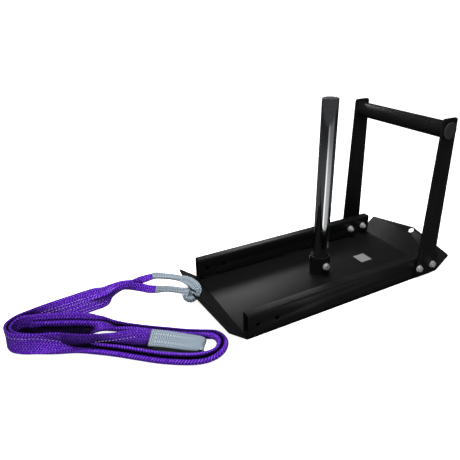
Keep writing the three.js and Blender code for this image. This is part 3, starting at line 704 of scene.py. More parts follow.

# %% [markdown]
# The third effect is the weave. Webbing shows columns of slanting ribs that turn back and forth, like
# bones of a fish. The zigzag of the place across, added to the place along, makes the ribs' phase.
# Another output marks spots on the rib crests, broken up by noise, where painted highlights go.

# %% Group: weave
weave, given, result = effect(
    "weave", [("Rib", 0.0075), ("Column", 0.0069), ("Slant", 1.0)],
    [("Height", "NodeSocketFloat"), ("Glint", "NodeSocketFloat"), ("Shade", "NodeSocketFloat")],
)
cloth = node(weave, "ShaderNodeUVMap", uv_map="cloth").outputs[0]
split = node(weave, "ShaderNodeSeparateXYZ", {0: cloth})
along, place = split.outputs["X"], split.outputs["Y"]
zigzag = maths(weave, "PINGPONG", place, given.outputs["Column"])
slanted = maths(weave, "ADD", along, maths(weave, "MULTIPLY", zigzag, given.outputs["Slant"]))
phase = maths(weave, "DIVIDE", slanted, given.outputs["Rib"])
wave = maths(weave, "COSINE", maths(weave, "MULTIPLY", phase, 2 * math.pi))
rib = maths(weave, "MULTIPLY_ADD", wave, 0.5, 0.5)
column = maths(weave, "PINGPONG", maths(weave, "DIVIDE", zigzag, given.outputs["Column"]), 0.5)
body = maths(weave, "POWER", maths(weave, "MULTIPLY", column, 2.0), 0.5)
rounded = maths(weave, "MULTIPLY_ADD", body, 0.7, 0.3)
height = maths(weave, "MULTIPLY", maths(weave, "POWER", rib, 0.7), rounded)
drift = noise(weave, cloth, scale=140.0, detail=2.0)
# painted highlight: spots on the crests get pale colour that stands in for light caught by the weave
crest = maths(weave, "MULTIPLY", maths(weave, "POWER", rib, 5.0), body)
glint = maths(weave, "MULTIPLY", crest, maths(weave, "MULTIPLY_ADD", drift, 2.2, -0.7))
weave.links.new(height, result.inputs["Height"])
weave.links.new(node(weave, "ShaderNodeClamp", {0: glint}).outputs[0], result.inputs["Glint"])
weave.links.new(drift, result.inputs["Shade"])
print("group", weave.name, "nodes:", len(weave.nodes))

# %% [markdown]
# ## Finishes
# Each finish is one Principled shader. What is the same all over a piece sits on the shader's own
# sockets, and what changes over it comes from the groups: colour, roughness and a bump.

# %% The recipe for a finish
def finish_named(name, metallic=0.0, roughness=0.5, **sockets):
    """A material with one Principled shader. Returns the material, its tree and the shader."""
    made = bpy.data.materials.new(name)
    made.use_nodes = True
    shader = made.node_tree.nodes["Principled BSDF"]
    shader.inputs["Metallic"].default_value = metallic
    shader.inputs["Roughness"].default_value = roughness
    for label, value in sockets.items():
        shader.inputs[label.replace("_", " ")].default_value = value
    return made, made.node_tree, shader


def group(tree, made, **values):
    """Places an effect in a material with its own numbers, and returns its outputs."""
    added = node(tree, "ShaderNodeGroup")
    added.node_tree = made
    for label, value in values.items():
        added.inputs[label.replace("_", " ")].default_value = value
    return added.outputs


def mixed(tree, share, first, second):
    """A colour between two, by a share that changes over the surface."""
    made = node(tree, "ShaderNodeMix", {0: share}, data_type="RGBA")
    for socket, value in ((made.inputs[6], first), (made.inputs[7], second)):
        if isinstance(value, bpy.types.NodeSocket):
            tree.links.new(value, socket)
        else:
            socket.default_value = (*value, 1.0)
    return made.outputs[2]


def coloured(tree, shader, colour):
    """A base colour that changes over the surface."""
    tree.links.new(colour, shader.inputs["Base Color"])


def roughened(tree, shader, share, spread, least):
    """Roughness from least upwards, as a share changes over the surface."""
    tree.links.new(maths(tree, "MULTIPLY_ADD", share, spread, least), shader.inputs["Roughness"])


def bumped(tree, shader, height, distance, strength):
    """Dents and rises of up to this distance in metres, without any new points."""
    bump = node(tree, "ShaderNodeBump", {"Height": height, "Distance": distance, "Strength": strength})
    tree.links.new(bump.outputs[0], shader.inputs["Normal"])


print("shared effects:", [made.name for made in bpy.data.node_groups])

# %% [markdown]
# Powder coat is paint baked from dust, so it is black, half glossy, and pebbled like fine orange peel.
# On edges that scrape along a gym floor it is thinner and greyer.

# %% Powder-coated steel
powder_coat, tree, shader = finish_named("black_powder_coat", roughness=0.40, Specular_IOR_Level=0.26)
pebbles = group(tree, grain, Fine_scale=1100.0, Slow_scale=7.0)
wear = group(tree, rubbed, Reach=0.0016, Patch_scale=60.0)
coat_colour = mixed(tree, pebbles["Cloud"], (0.0040, 0.0041, 0.0045), (0.0080, 0.0081, 0.0086))
dusty = mixed(tree, maths(tree, "MULTIPLY", pebbles["Speck"], 0.35), coat_colour, (0.060, 0.060, 0.062))
worn = mixed(tree, maths(tree, "MULTIPLY", wear["Mask"], 0.30), dusty, (0.10, 0.10, 0.105))
coloured(tree, shader, worn)
roughened(tree, shader, pebbles["Cloud"], spread=0.12, least=0.34)
bumped(tree, shader, pebbles["Height"], distance=0.00022, strength=0.6)
print("coat:", powder_coat.name)

# %% [markdown]
# Chrome is nearly a mirror. What gives it away as a tube that plates slide over is a faint haze of
# lengthwise rubbing, so its roughness changes along stretched noise. Zinc on the bolts is duller, with a
# cloud of fine crystals, and the label's bare metal is brushed one way.

# %% Chrome, zinc and bare label metal
def drawn_out_noise(tree, scales, detail):
    """Noise stretched along the axis whose scale is the smallest, as rubbing or brushing leaves it."""
    spread = node(tree, "ShaderNodeMapping", {"Vector": object_place(tree), "Scale": scales})
    return noise(tree, spread.outputs[0], scale=1.0, detail=detail)


chrome, tree, shader = finish_named("plate_post_chrome", metallic=1.0, roughness=0.06)
rubbing = drawn_out_noise(tree, scales=(260.0, 260.0, 6.0), detail=4.0)
coloured(tree, shader, mixed(tree, rubbing, (0.58, 0.59, 0.61), (0.72, 0.73, 0.75)))
roughened(tree, shader, rubbing, spread=0.10, least=0.03)
bumped(tree, shader, rubbing, distance=0.00004, strength=0.5)

zinc, tree, shader = finish_named("bright_zinc", metallic=0.65, roughness=0.28)
crystals = group(tree, grain, Fine_scale=1600.0, Slow_scale=120.0)
coloured(tree, shader, mixed(tree, crystals["Cloud"], (0.70, 0.71, 0.72), (0.90, 0.91, 0.92)))
roughened(tree, shader, crystals["Cloud"], spread=0.22, least=0.16)
bumped(tree, shader, crystals["Height"], distance=0.00006, strength=0.5)

label_metal, tree, shader = finish_named("bare_label_metal", metallic=0.6, roughness=0.38)
lines = drawn_out_noise(tree, scales=(40.0, 1400.0, 1.0), detail=3.0)
coloured(tree, shader, mixed(tree, lines, (0.40, 0.40, 0.40), (0.56, 0.56, 0.55)))
bumped(tree, shader, lines, distance=0.00003, strength=0.4)
print("metals:", chrome.name, zinc.name, label_metal.name)

# %% [markdown]
# Moulded plastic caps are a shade lighter than the coat beside them, with a fine spark-eroded texture.

# %% Plug plastic
plug_plastic, tree, shader = finish_named("moulded_plug_plastic", roughness=0.5)
mould = group(tree, grain, Fine_scale=700.0, Slow_scale=30.0)
coloured(tree, shader, mixed(tree, mould["Cloud"], (0.020, 0.021, 0.022), (0.036, 0.037, 0.039)))
roughened(tree, shader, mould["Cloud"], spread=0.2, least=0.40)
bumped(tree, shader, mould["Height"], distance=0.00018, strength=0.7)
print("plastic:", plug_plastic.name)

# %% [markdown]
# Polyester webbing has a soft sheen: pale violet painted highlights sit on its ribs' crests, and the gaps
# between them go nearly black. The sleeve is a plainer cloth of blue-grey yarn, and the thread a paler one.
# The chrome post in the photograph shows no violet, so none of the cloth is seen by glossy rays.

# %% Webbing, sleeving and thread
def fold_shade(tree, start, full):
    """How much shade is painted into a fold: from none to full, as the stored share of blocked rays grows.
    """
    share = node(tree, "ShaderNodeAttribute", attribute_name="hollow").outputs["Fac"]
    return ramp(tree, share, start, full)


webbing, tree, shader = finish_named(
    "purple_webbing", roughness=0.55, Specular_IOR_Level=0.16, Sheen_Weight=0.03, Sheen_Roughness=0.4
)
shader.inputs["Sheen Tint"].default_value = (0.62, 0.40, 1.0, 1.0)
ribs = group(tree, weave, Rib=0.0075, Column=0.0069, Slant=1.0)
deep = mixed(tree, ribs["Height"], (0.009, 0.0005, 0.064), (0.140, 0.008, 0.650))
shaded = mixed(tree, maths(tree, "MULTIPLY", ribs["Shade"], 0.5), deep, (0.066, 0.003, 0.360))
# painted highlights: pale violet on the rib crests
glinted = mixed(tree, maths(tree, "MULTIPLY", ribs["Glint"], 0.80), shaded, (0.50, 0.31, 0.92))
# painted shade: the webbing's colour goes nearly black in its folds, by the stored share
depth = fold_shade(tree, start=0.05, full=0.55)
coloured(tree, shader, mixed(tree, depth, glinted, (0.0030, 0.0004, 0.0120)))
bumped(tree, shader, ribs["Height"], distance=0.0007, strength=0.8)

sleeving, tree, shader = finish_named("grey_sleeving", roughness=0.85, Sheen_Weight=0.2)
yarns = group(tree, weave, Rib=0.0060, Column=0.0052, Slant=0.9)
plain = mixed(tree, yarns["Height"], (0.042, 0.058, 0.078), (0.370, 0.450, 0.520))
# painted shade: the sleeve's colour goes dark in its folds, by the stored share
depth = fold_shade(tree, start=0.06, full=0.55)
coloured(tree, shader, mixed(tree, depth, plain, (0.012, 0.018, 0.022)))
bumped(tree, shader, yarns["Height"], distance=0.0005, strength=0.8)


def thread_finish(name, dark, light):
    """Twisted thread: fine bands of light and dark wind along it."""
    made, tree, shader = finish_named(name, roughness=0.6, Sheen_Weight=0.2)
    bands = {"Vector": object_place(tree), "Scale": 420.0, "Distortion": 1.5}
    twist = node(tree, "ShaderNodeTexWave", bands).outputs["Fac"]
    coloured(tree, shader, mixed(tree, twist, dark, light))
    bumped(tree, shader, twist, distance=0.0001, strength=0.5)
    return made


thread = thread_finish("pale_thread", (0.48, 0.46, 0.60), (0.86, 0.85, 0.90))
lilac_thread = thread_finish("lilac_thread", (0.26, 0.17, 0.46), (0.58, 0.47, 0.76))

for piece, finish in (
    (strap, webbing), (leg_upper, webbing), (leg_lower, webbing),
    (sleeve, sleeving), (curl, sleeving), (flat_eye, sleeving),
    (strap_stitches, lilac_thread), (sleeve_stitches, thread), (flat_stitches, thread),
):
    piece.data.materials.append(finish)
    piece.visible_glossy = False
print("finishes:", len(bpy.data.materials))

# %% [markdown]
# ## The welded steel
# Sheared plate and sawn tube never have razor edges: powder coat flows round them and leaves a soft line
# of light. The CAD solids have the right shape, so each is copied, its loose triangles are merged back
# into flat faces, and a Bevel modifier rounds only the edges that are sharp.

# %% Softening a copied solid
def bevelled(piece, width, segments, angle):
    """Rounds the edges of the active piece that turn by more than this angle."""
    rounding = piece.modifiers.new("rounding", "BEVEL")
    rounding.width, rounding.segments = width, segments
    rounding.limit_method, rounding.angle_limit = "ANGLE", math.radians(angle)
    bpy.ops.object.modifier_apply(modifier="rounding")


def dress(piece, finish, slot, *nodes):
    """Gives a piece its finish and its body, and hides the solids that it stands for. The slot is not used.
    """
    piece.data.materials.clear()
    piece.data.materials.append(finish)
    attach(piece, "root")
    if nodes:
        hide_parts(*nodes)


def softened(node_name, name, width):
    """A coated copy of a CAD solid with its sharp edges rounded, standing for that solid."""
    piece = new_piece(name, frame["nodes"][node_name].data.copy())
    only(piece)
    bpy.ops.object.mode_set(mode="EDIT")
    bpy.ops.mesh.select_all(action="SELECT")
    bpy.ops.mesh.remove_doubles(threshold=0.00002)
    bpy.ops.mesh.dissolve_limited(angle_limit=math.radians(1.0))
    bpy.ops.object.mode_set(mode="OBJECT")
    bevelled(piece, width, segments=2, angle=30)
    bpy.ops.object.shade_smooth_by_angle(angle=math.radians(32))
    dress(piece, powder_coat, "frame_steel", node_name)
    print(name, "faces:", len(piece.data.polygons))


softened("tray", "sled_tray", width=0.0006)
softened("rail_left", "side_rail_left", width=0.0005)
softened("rail_right", "side_rail_right", width=0.0005)
softened("upright_left", "push_upright_left", width=0.0009)
softened("upright_right", "push_upright_right", width=0.0009)

# %% [markdown]
# ## Turned pieces
# A post, a socket or a plug is what a lathe would make. Each is drawn as by hand: a circle is added, then
# extruded and scaled ring by ring up the profile, and the last ring is merged with the first for a tube.

# %% Turning a profile
def turned(name, profile, sides=96, closed=False, rounding=0.0):
    """Extrudes a circle along (radius, height) steps. A closed profile makes a tube's wall."""
    bpy.ops.object.select_all(action="DESELECT")
    radius, height = profile[0]
    bpy.ops.mesh.primitive_circle_add(
        vertices=sides, radius=radius, location=(0, 0, height), fill_type="NOTHING" if closed else "NGON"
    )
    piece = bpy.context.object
    piece.name = piece.data.name = name
    bpy.ops.object.transform_apply(location=True, rotation=True, scale=True)
    bpy.ops.object.mode_set(mode="EDIT")
    bpy.ops.mesh.select_all(action="SELECT")
    extrude = bpy.ops.mesh.extrude_edges_move if closed else bpy.ops.mesh.extrude_region_move
    for next_radius, next_height in profile[1:] + (profile[:1] if closed else []):
        extrude(TRANSFORM_OT_translate={"value": (0, 0, next_height - height)})
        share = next_radius / radius
        bpy.ops.transform.resize(value=(share, share, 1), center_override=(0, 0, next_height))
        radius, height = next_radius, next_height
    bpy.ops.mesh.select_all(action="SELECT")
    bpy.ops.mesh.remove_doubles(threshold=0.00001)
    bpy.ops.mesh.normals_make_consistent(inside=False)
    bpy.ops.object.mode_set(mode="OBJECT")
    if rounding:
        bevelled(piece, rounding, segments=3, angle=40)
    bpy.ops.object.shade_smooth_by_angle(angle=math.radians(40))
    return piece


def placed(piece, at, turn=(0, 0, 0)):
    """Turns and moves a piece, then puts the place into its mesh."""
    only(piece)
    piece.rotation_euler = turn
    piece.location = at
    bpy.ops.object.transform_apply(location=True, rotation=True, scale=True)
    return piece


def middle_of(node_name):
    """The middle and the size of a CAD node's box."""
    low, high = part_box(node_name)
    return (low + high) / 2, high - low


TUBE_WALL = 0.003
SAWN_EDGE = 0.0006


def tube(name, radius, low, high):
    """A tube along Z between two heights, with the edges of its sawn ends rounded."""
    bore = radius - TUBE_WALL
    wall = [(radius, low), (radius, high), (bore, high), (bore, low)]
    return turned(name, wall, closed=True, rounding=SAWN_EDGE)


post_middle, post_size = middle_of("post")
post_radius = post_size.x / 2
post_foot, post_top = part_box("post")[0].z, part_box("post")[1].z
post = placed(tube("plate_post", post_radius, post_foot, post_top), (post_middle.x, 0, 0))
dress(post, chrome, "post_chrome", "post")
print("post", [round(v, 4) for v in post.dimensions])

# %% [markdown]
# A plug closes a tube's end: its stem is pressed in, and its flange shows as a softly domed face. Its
# profile is given as steps inwards from the tube's radius, so the same one serves the post and the bar.

# %% The plug in the post
PLUG_STEPS = [
    (0.0064, -0.018), (0.0033, -0.018), (0.0033, -0.0002), (0.0002, 0.0), (0.0, 0.0006), (0.0, 0.0018),
    (0.0005, 0.0028), (0.0014, 0.0035), (0.0028, 0.0039), (0.0100, 0.0040),
]
PLUG_TIP = (0.0005, 0.0040)


def plug(name, radius):
    """A tube plug that stands on its flange at zero, its stem below."""
    return turned(name, [(radius - inwards, height) for inwards, height in PLUG_STEPS] + [PLUG_TIP])


post_cap = placed(plug("post_plug", post_radius), (post_middle.x, 0, post_top))
dress(post_cap, plug_plastic, "plug_plastic", "post_cap")
print("plug", [round(v, 4) for v in post_cap.dimensions])

# %% [markdown]
# The socket is a short thick tube that the post stands in, with a chamfer outside and a little play round
# the post. The push bar is a thin tube again. It could be turned where it lies, but a profile is easiest
# to read upright, so the bar is made along Z and then laid across.

# %% The socket and the push bar
SOCKET_CHAMFER = 0.0010
SOCKET_PLAY = 0.0006

socket_low, socket_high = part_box("post_socket")
socket_radius = (socket_high.x - socket_low.x) / 2
socket_bore = post_radius + SOCKET_PLAY
socket_profile = [
    (socket_radius, socket_low.z), (socket_radius, socket_high.z - SOCKET_CHAMFER),
    (socket_radius - SOCKET_CHAMFER, socket_high.z), (post_radius + 2 * SOCKET_PLAY, socket_high.z),
    (socket_bore, socket_high.z - SOCKET_PLAY), (socket_bore, socket_low.z),
]
socket = placed(turned("post_socket_ring", socket_profile, closed=True), (post_middle.x, 0, 0))
dress(socket, powder_coat, "frame_steel", "post_socket")

bar_middle, bar_size = middle_of("crossbar")
bar_radius, bar_half = bar_size.x / 2, bar_size.y / 2
push_bar = placed(tube("push_bar", bar_radius, -bar_half, bar_half), bar_middle, (math.pi / 2, 0, 0))
dress(push_bar, powder_coat, "frame_steel", "crossbar")
for hand, side in (("left", -1), ("right", 1)):
    cap_place = (bar_middle.x, side * bar_half, bar_middle.z)
    cap = placed(plug(f"bar_plug_{hand}", bar_radius), cap_place, (-side * math.pi / 2, 0, 0))
    dress(cap, plug_plastic, "plug_plastic", f"crossbar_cap_{hand}")
print("bar", [round(v, 4) for v in push_bar.dimensions])

# %% [markdown]
# ## Bolts
# Five bolts hold the sled together. A hexagon head is a six-sided bar whose corners a lathe has cut to a
# cone, so a six-sided cylinder meets a turned blank with a Boolean modifier. The thread is made of close
# rings, which at this size look the same as a helix and cost far less.

# %% A hexagon with its corners cut
HEX_RADIUS = 0.0103
PAST_CORNER = 0.0001
CONE_HEIGHT, FOOT_CONE_HEIGHT = 0.0010, 0.0003
TOP_INSET, NUT_FOOT_INSET = 0.0018, 0.0016


def combined(piece, tool, operation):
    """Cuts a piece with a tool by a Boolean modifier, and removes the tool."""
    only(piece)
    cut = piece.modifiers.new("cut", "BOOLEAN")
    cut.operation, cut.object, cut.solver = operation, tool, "EXACT"
    bpy.ops.object.modifier_apply(modifier="cut")
    bpy.data.objects.remove(tool)


def hexagon(name, height, both_ends):
    """A six-sided bar whose corners are cut to a cone at the top, and at the foot too where both show."""
    wide = HEX_RADIUS + PAST_CORNER
    foot = [(HEX_RADIUS, 0.0), (wide, FOOT_CONE_HEIGHT)]
    if both_ends:
        foot = [(HEX_RADIUS - NUT_FOOT_INSET, 0.0), (wide, CONE_HEIGHT)]
    top = [(wide, height - CONE_HEIGHT), (HEX_RADIUS - TOP_INSET, height)]
    blank = turned("hexagon_blank", foot + top, sides=48)
    bpy.ops.object.select_all(action="DESELECT")
    bpy.ops.mesh.primitive_cylinder_add(
        vertices=6, radius=HEX_RADIUS, depth=height, location=(0, 0, height / 2)
    )
    piece = bpy.context.object
    piece.name = piece.data.name = name
    bpy.ops.object.transform_apply(location=True, rotation=True, scale=True)
    combined(piece, blank, "INTERSECT")
    bpy.ops.object.mode_set(mode="EDIT")
    bpy.ops.mesh.select_all(action="SELECT")
    bpy.ops.mesh.remove_doubles(threshold=0.00001)
    bpy.ops.object.mode_set(mode="OBJECT")
    bpy.ops.object.shade_smooth_by_angle(angle=math.radians(25))
    return piece


def joined(first, *others):
    """The first piece with the others' faces added to its own."""
    bpy.ops.object.select_all(action="DESELECT")
    for other in others:
        other.select_set(True)
    first.select_set(True)
    bpy.context.view_layer.objects.active = first
    bpy.ops.object.join()
    return first


print("a hexagon is", round(HEX_RADIUS * math.sqrt(3) * 1000, 1), "mm across its flats")

# %% A bolt with its thread
HEAD_HEIGHT = 0.0075
THREAD_LENGTH = 0.024
PITCH = 0.00175
SHANK_RADIUS = 0.0060
ROOT_RADIUS = 0.00525
TIP_RADII, TIP_HEIGHT = (0.0044, 0.0052), 0.0010
THREAD_FROM_TIP = 0.0012
INTO_HEAD = 0.0004
THREAD_STEPS = ((SHANK_RADIUS, 0.35), (SHANK_RADIUS, 0.50), (ROOT_RADIUS, 0.95))


def threaded_shank(length):
    """A shank hanging down from zero, with a tapered tip and its last stretch cut with thread rings."""
    rings = [(TIP_RADII[0], -length), (TIP_RADII[1], -length + TIP_HEIGHT)]
    start = -length + THREAD_FROM_TIP
    for turn_number in range(int(THREAD_LENGTH / PITCH)):
        low = start + turn_number * PITCH
        rings += [(radius, low + share * PITCH) for radius, share in THREAD_STEPS]
    rings += [(SHANK_RADIUS, start + THREAD_LENGTH + PITCH), (SHANK_RADIUS, INTO_HEAD)]
    return turned("shank", rings, sides=32)


def bolt_for(node_name, name):
    """A bolt whose length comes from its own CAD node's box along Y."""
    low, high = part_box(node_name)
    head = hexagon(name, HEAD_HEIGHT, both_ends=False)
    piece = joined(head, threaded_shank(high.y - low.y - HEAD_HEIGHT))
    piece.name = piece.data.name = name
    return piece


print("a bolt's thread has", int(THREAD_LENGTH / PITCH), "rings")

# %% [markdown]
# Each bolt's head is on the side given here, and its seat lies one head's height inside the solid's box.
# The uprights' bolts have their heads outside, where a spanner reaches them.

# %% Bolts in their places
HEAD_SIDES = {
    "post_bolt": -1, "upright_bolt_left_front": -1, "upright_bolt_left_rear": -1,
    "upright_bolt_right_front": 1, "upright_bolt_right_rear": 1,
}
for bolt_name, head_side in HEAD_SIDES.items():
    low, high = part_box(bolt_name)
    seat = low.y + HEAD_HEIGHT if head_side < 0 else high.y - HEAD_HEIGHT
    bolt = bolt_for(bolt_name, "hex_" + bolt_name)
    placed(bolt, ((low.x + high.x) / 2, seat, (low.z + high.z) / 2), (-head_side * math.pi / 2, 0, 0))
    dress(bolt, zinc, "fastener_zinc", bolt_name)
print("bolts:", len(HEAD_SIDES))

# %% [markdown]
# Nuts and washers repeat, so one of each is modelled and then copied with a mesh of its own.

# %% Nuts and washers
NUT_HEIGHT = 0.010
NUT_BORE = 0.0063
WASHER_RADIUS = 0.012
WASHER_HOLE = 0.0065
WASHER_HEIGHT = 0.0025
DRILL_PAST = 0.002

nut_model = hexagon("nut_model", NUT_HEIGHT, both_ends=True)
drill = turned("drill", [(NUT_BORE, -DRILL_PAST), (NUT_BORE, NUT_HEIGHT + DRILL_PAST)], sides=32)
combined(nut_model, drill, "DIFFERENCE")
bpy.ops.object.shade_smooth_by_angle(angle=math.radians(25))
washer_profile = [
    (WASHER_RADIUS, 0.0), (WASHER_RADIUS, WASHER_HEIGHT), (WASHER_HOLE, WASHER_HEIGHT), (WASHER_HOLE, 0.0),
]
washer_model = turned("washer_model", washer_profile, sides=48, closed=True, rounding=0.0005)


def copied(model, name, node_name, outward):
    """A copy of a small part, seated at its CAD node's inner face and pointing outward along Y."""
    low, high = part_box(node_name)
    piece = new_piece(name, model.data.copy())
    seat = low.y if outward > 0 else high.y
    placed(piece, ((low.x + high.x) / 2, seat, (low.z + high.z) / 2), (-outward * math.pi / 2, 0, 0))
    dress(piece, zinc, "fastener_zinc", node_name)


copied(nut_model, "hex_post_nut", "post_nut", 1)
copied(washer_model, "round_post_washer_left", "post_washer_left", -1)
copied(washer_model, "round_post_washer_right", "post_washer_right", 1)
for hand, side in (("left", -1), ("right", 1)):
    for end in ("front", "rear"):
        copied(washer_model, f"round_outer_washer_{hand}_{end}", f"outer_washer_{hand}_{end}", side)
        copied(washer_model, f"round_inner_washer_{hand}_{end}", f"inner_washer_{hand}_{end}", -side)
        copied(nut_model, f"hex_upright_nut_{hand}_{end}", f"upright_nut_{hand}_{end}", -side)
bpy.data.objects.remove(nut_model)
bpy.data.objects.remove(washer_model)
hardware = [piece.name for piece in bpy.data.objects if piece.name.startswith(("hex_", "round_"))]
print("bolts, nuts and washers:", len(hardware))

# %% [markdown]
# ## Weld beads
# The rails are stitched to the tray, and the socket and the push bar are welded all round. A bead is a
# row of overlapping ripples. A straight bead is turned like a rod that swells and sinks. For a bead that
# runs round a tube, a thin ring is added, every other loop of its points is fattened, and a subdivision
# surface rounds the steps into ripples.

# %% Straight stitch welds
BEAD_RADIUS = 0.0032
BEAD_TIP = 0.0012
RIPPLE = 0.0028
RIPPLE_STEPS = ((0.0, 0.30), (0.0004, 0.62), (-0.0005, 0.98))


def straight_bead(name, start, stop, y, z):
    """A bead along X, turned like a rod whose radius swells and sinks."""
    count = int((stop - start) / RIPPLE)
    profile = [(BEAD_TIP, 0.0)]
    for number in range(count):
        profile += [(BEAD_RADIUS + swell, (number + share) * RIPPLE) for swell, share in RIPPLE_STEPS]
    profile.append((BEAD_TIP, (count + 0.25) * RIPPLE))
    bead = turned(name, profile, sides=12)
    only(bead)
    bpy.ops.object.shade_smooth_by_angle(angle=math.radians(75))
    return placed(bead, (start, y, z), (0, math.pi / 2, 0))


RAIL_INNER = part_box("rail_right")[0].y
FLOOR_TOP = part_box("rail_right")[0].z
WELDS = ((-0.341, -0.301), (-0.040, 0.037), (0.280, 0.320))
BEAD_INSET, BEAD_LIFT = 0.0004, 0.0008
beads = []
for start, stop in WELDS:
    bead = straight_bead("rail_weld_beads", start, stop, -RAIL_INNER + BEAD_INSET, FLOOR_TOP + BEAD_LIFT)
    twin = new_piece("rail_weld_twin", bead.data.copy())
    beads += [bead, placed(twin, (0, 2 * (RAIL_INNER - BEAD_INSET), 0))]
rail_welds = joined(*beads)
rail_welds.name = rail_welds.data.name = "rail_weld_beads"
dress(rail_welds, powder_coat, "frame_steel")
print("rail welds:", len(rail_welds.data.polygons), "faces")

# %% Ring welds
RING_RIPPLE = 0.0030
RING_SWELL = 0.0006
SOCKET_BEAD, SOCKET_BEAD_OUT, SOCKET_BEAD_UP = 0.0030, 0.0006, 0.0009
BAR_BEAD, BAR_BEAD_OUT, BAR_BEAD_INSET = 0.0026, 0.0004, 0.0006


def rippled(piece, picked):
    """Fattens the picked points of a bead and rounds the result."""
    only(piece)
    bpy.ops.object.mode_set(mode="EDIT")
    bpy.ops.mesh.select_mode(type="VERT")
    bpy.ops.mesh.select_all(action="DESELECT")
    bpy.ops.object.mode_set(mode="OBJECT")
    for point in piece.data.vertices:
        point.select = picked(point.co)
    bpy.ops.object.mode_set(mode="EDIT")
    bpy.ops.transform.shrink_fatten(value=RING_SWELL)
    bpy.ops.object.mode_set(mode="OBJECT")
    soft = piece.modifiers.new("soft", "SUBSURF")
    soft.levels = soft.render_levels = 1
    bpy.ops.object.modifier_apply(modifier="soft")
    bpy.ops.object.shade_smooth_by_angle(angle=math.radians(60))


def ring_bead(name, radius, at, thick, turn=(0, 0, 0)):
    """A bead round a tube: every other loop of a thin ring is fattened."""
    count = int(math.pi * radius / RING_RIPPLE) * 2
    bpy.ops.object.select_all(action="DESELECT")
    bpy.ops.mesh.primitive_torus_add(
        major_radius=radius, minor_radius=thick, major_segments=count, minor_segments=10
    )
    piece = bpy.context.object
    piece.name = piece.data.name = name
    rippled(piece, lambda co: round(math.atan2(co.y, co.x) / (2 * math.pi / count)) % 2 == 1)
    placed(piece, at, turn)
    dress(piece, powder_coat, "frame_steel")
    return piece


socket_weld = ring_bead(
    "socket_weld_bead", socket_radius + SOCKET_BEAD_OUT, (post_middle.x, 0, socket_low.z + SOCKET_BEAD_UP),
    thick=SOCKET_BEAD,
)
upright_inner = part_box("upright_right")[0].y
for hand, side in (("left", -1), ("right", 1)):
    ring_bead(
        f"bar_weld_bead_{hand}", bar_radius + BAR_BEAD_OUT,
        (bar_middle.x, side * (upright_inner - BAR_BEAD_INSET), bar_middle.z),
        thick=BAR_BEAD, turn=(math.pi / 2, 0, 0),
    )
print("socket weld:", [round(v, 4) for v in socket_weld.dimensions])

# %% [markdown]
# ## The label
# A small square plate lies on the tray, between the post and the push bar. It stays bare: a metal blank
# with softened edges and a shallow inset field.

# %% The bare label plate
label_low, label_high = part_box("label_plate")
bpy.ops.object.select_all(action="DESELECT")
bpy.ops.mesh.primitive_cube_add(size=1, location=(label_low + label_high) / 2, scale=label_high - label_low)
label = bpy.context.object
label.name = label.data.name = "bare_label_plate"
bpy.ops.object.transform_apply(location=True, rotation=True, scale=True)
bpy.ops.object.mode_set(mode="EDIT")
bpy.ops.mesh.select_mode(type="FACE")
bpy.ops.mesh.select_all(action="DESELECT")
bpy.ops.object.mode_set(mode="OBJECT")
for face in label.data.polygons:
    face.select = face.normal.z > 0.9
bpy.ops.object.mode_set(mode="EDIT")
bpy.ops.mesh.inset(thickness=0.0030, depth=0.0)
bpy.ops.mesh.inset(thickness=0.0004, depth=-0.00025)
bpy.ops.object.mode_set(mode="OBJECT")
bevelled(label, width=0.0002, segments=2, angle=30)
dress(label, label_metal, "label_metal", "label_plate")
print("label", [round(v, 4) for v in label.dimensions])

# %% [markdown]
# ## Floor, air and lamps
# The floor is plain and pale. A mirror such as the post shows whatever stands round it, and in a real
# studio that is mostly dark room with a few bright panels. So for glossy rays alone the floor and the
# sky are dark, except where a panel is, and where a sheet under the sled would be: that sheet is a painted
# reflection, a bright patch in the floor's glossy colour. The floor also throws little light back up, as
# a grey one would, which keeps the folds of the strap deep.

# %% Floor
FLOOR_RADIUS = 14
bpy.ops.object.select_all(action="DESELECT")
bpy.ops.mesh.primitive_circle_add(vertices=96, radius=FLOOR_RADIUS, fill_type="NGON", location=(0, 0, 0))
floor = bpy.context.object
floor.name = floor.data.name = "studio_floor"
paper = bpy.data.materials.new("pale_paper")
paper.use_nodes = True
tree = paper.node_tree
shader = tree.nodes["Principled BSDF"]
shader.inputs["Roughness"].default_value = 0.9
floor.data.materials.append(paper)
print("floor radius:", FLOOR_RADIUS, "m")

# %% [markdown]
# The floor's colour for glossy rays depends on where it is hit. Seen from the post, a wedge of it is
# painted bright between two bearings, and a narrower wedge is painted brighter still: painted reflections
# for the post to show. A Light Path node tells glossy rays and the camera's own rays from the rest, so
# the picture's background stays plain.

# %% The floor's painted reflections for a mirror
seen_in_gloss = node(tree, "ShaderNodeLightPath").outputs["Is Glossy Ray"]
sheet_at = node(tree, "ShaderNodeSeparateXYZ", {0: object_place(tree)})
below = maths(tree, "MULTIPLY", sheet_at.outputs["Y"], -1.0)
bearing = maths(tree, "DIVIDE", sheet_at.outputs["X"], maths(tree, "MAXIMUM", below, 0.05))
painted_from = ramp(tree, below, start=0.22, full=0.30)
painted_until = ramp(tree, below, start=1.60, full=1.15, low=0.90)
reach = maths(tree, "MULTIPLY", painted_from, painted_until)


def wedge(start, full, until, end):
    """The share of a painted patch: one from full to until, as seen by its bearing from the post, and none
    outside start and end.
    """
    rise = ramp(tree, bearing, start, full)
    fall = ramp(tree, bearing, end, until)
    return maths(tree, "MULTIPLY", maths(tree, "MULTIPLY", rise, fall), reach)
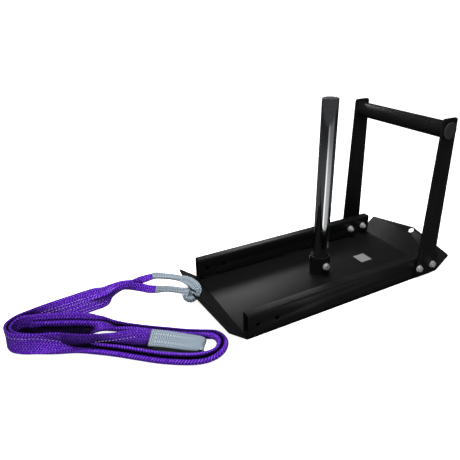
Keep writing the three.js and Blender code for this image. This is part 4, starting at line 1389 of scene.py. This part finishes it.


# painted reflections: a dim and a bright patch in the floor's colour for glossy rays
dim_painted_patch = mixed(tree, wedge(-0.72, -0.60, 0.60, 0.95), (0.040, 0.040, 0.042), (0.36, 0.36, 0.36))
painted_reflection_colour = mixed(tree, wedge(-0.72, -0.56, -0.40, -0.16), dim_painted_patch, (0.96, 0.96, 0.96))
seen_by_camera = node(tree, "ShaderNodeLightPath").outputs["Is Camera Ray"]
dull_colour = mixed(tree, seen_in_gloss, (0.16, 0.16, 0.16), painted_reflection_colour)
tree.links.new(mixed(tree, seen_by_camera, dull_colour, (0.93, 0.93, 0.93)), shader.inputs["Base Color"])
shader.inputs["Emission Color"].default_value = (1, 1, 1, 1)
tree.links.new(maths(tree, "MULTIPLY", seen_by_camera, 0.80), shader.inputs["Emission Strength"])
print("paper's nodes:", len(tree.nodes))

# %% [markdown]
# Flat lamps are chosen because their shadows have soft edges, as under a studio's panels. Most of the
# light comes from above and some from the front, and both of these lamps are hidden from reflections. The
# weak one behind the sled isn't, so edges and the post can mirror it.

# %% Sky and lamps
world = bpy.data.worlds.new("studio_air")
bpy.context.scene.world = world
world.use_nodes = True
tree = world.node_tree
air = tree.nodes["Background"]
paths = node(tree, "ShaderNodeLightPath").outputs
lit = mixed(tree, paths["Is Glossy Ray"], (0.55, 0.55, 0.55), (0.06, 0.06, 0.063))
tree.links.new(mixed(tree, paths["Is Camera Ray"], lit, (1.1, 1.1, 1.1)), air.inputs["Color"])
air.inputs["Strength"].default_value = 1.0


def lamp(name, at, toward, size, watts):
    """A flat soft lamp that faces a point."""
    data = bpy.data.lights.new(name, "AREA")
    data.shape, data.size, data.size_y = "RECTANGLE", size[0], size[1]
    data.energy = watts
    made = bpy.data.objects.new(name, data)
    facing = (Vector(toward) - Vector(at)).to_track_quat("-Z", "Y")
    made.matrix_world = Matrix.Translation(at) @ facing.to_matrix().to_4x4()
    bpy.context.scene.collection.objects.link(made)
    return made


lamp("key_panel", (0.62, 1.9, 1.30), (-0.2, 0, 0.1), size=(0.9, 0.50), watts=9)
fill = lamp("front_fill", (-1.8, -1.6, 2.0), (-0.3, 0, 0.1), size=(1.4, 1.4), watts=19)
top = lamp("top_panel", (-0.5, -0.1, 2.6), (-0.4, 0, 0), size=(1.3, 1.0), watts=72)
fill.visible_glossy = top.visible_glossy = False
bpy.context.scene.view_settings.view_transform = "Standard"
print("lamps:", [light.name for light in bpy.data.lights])
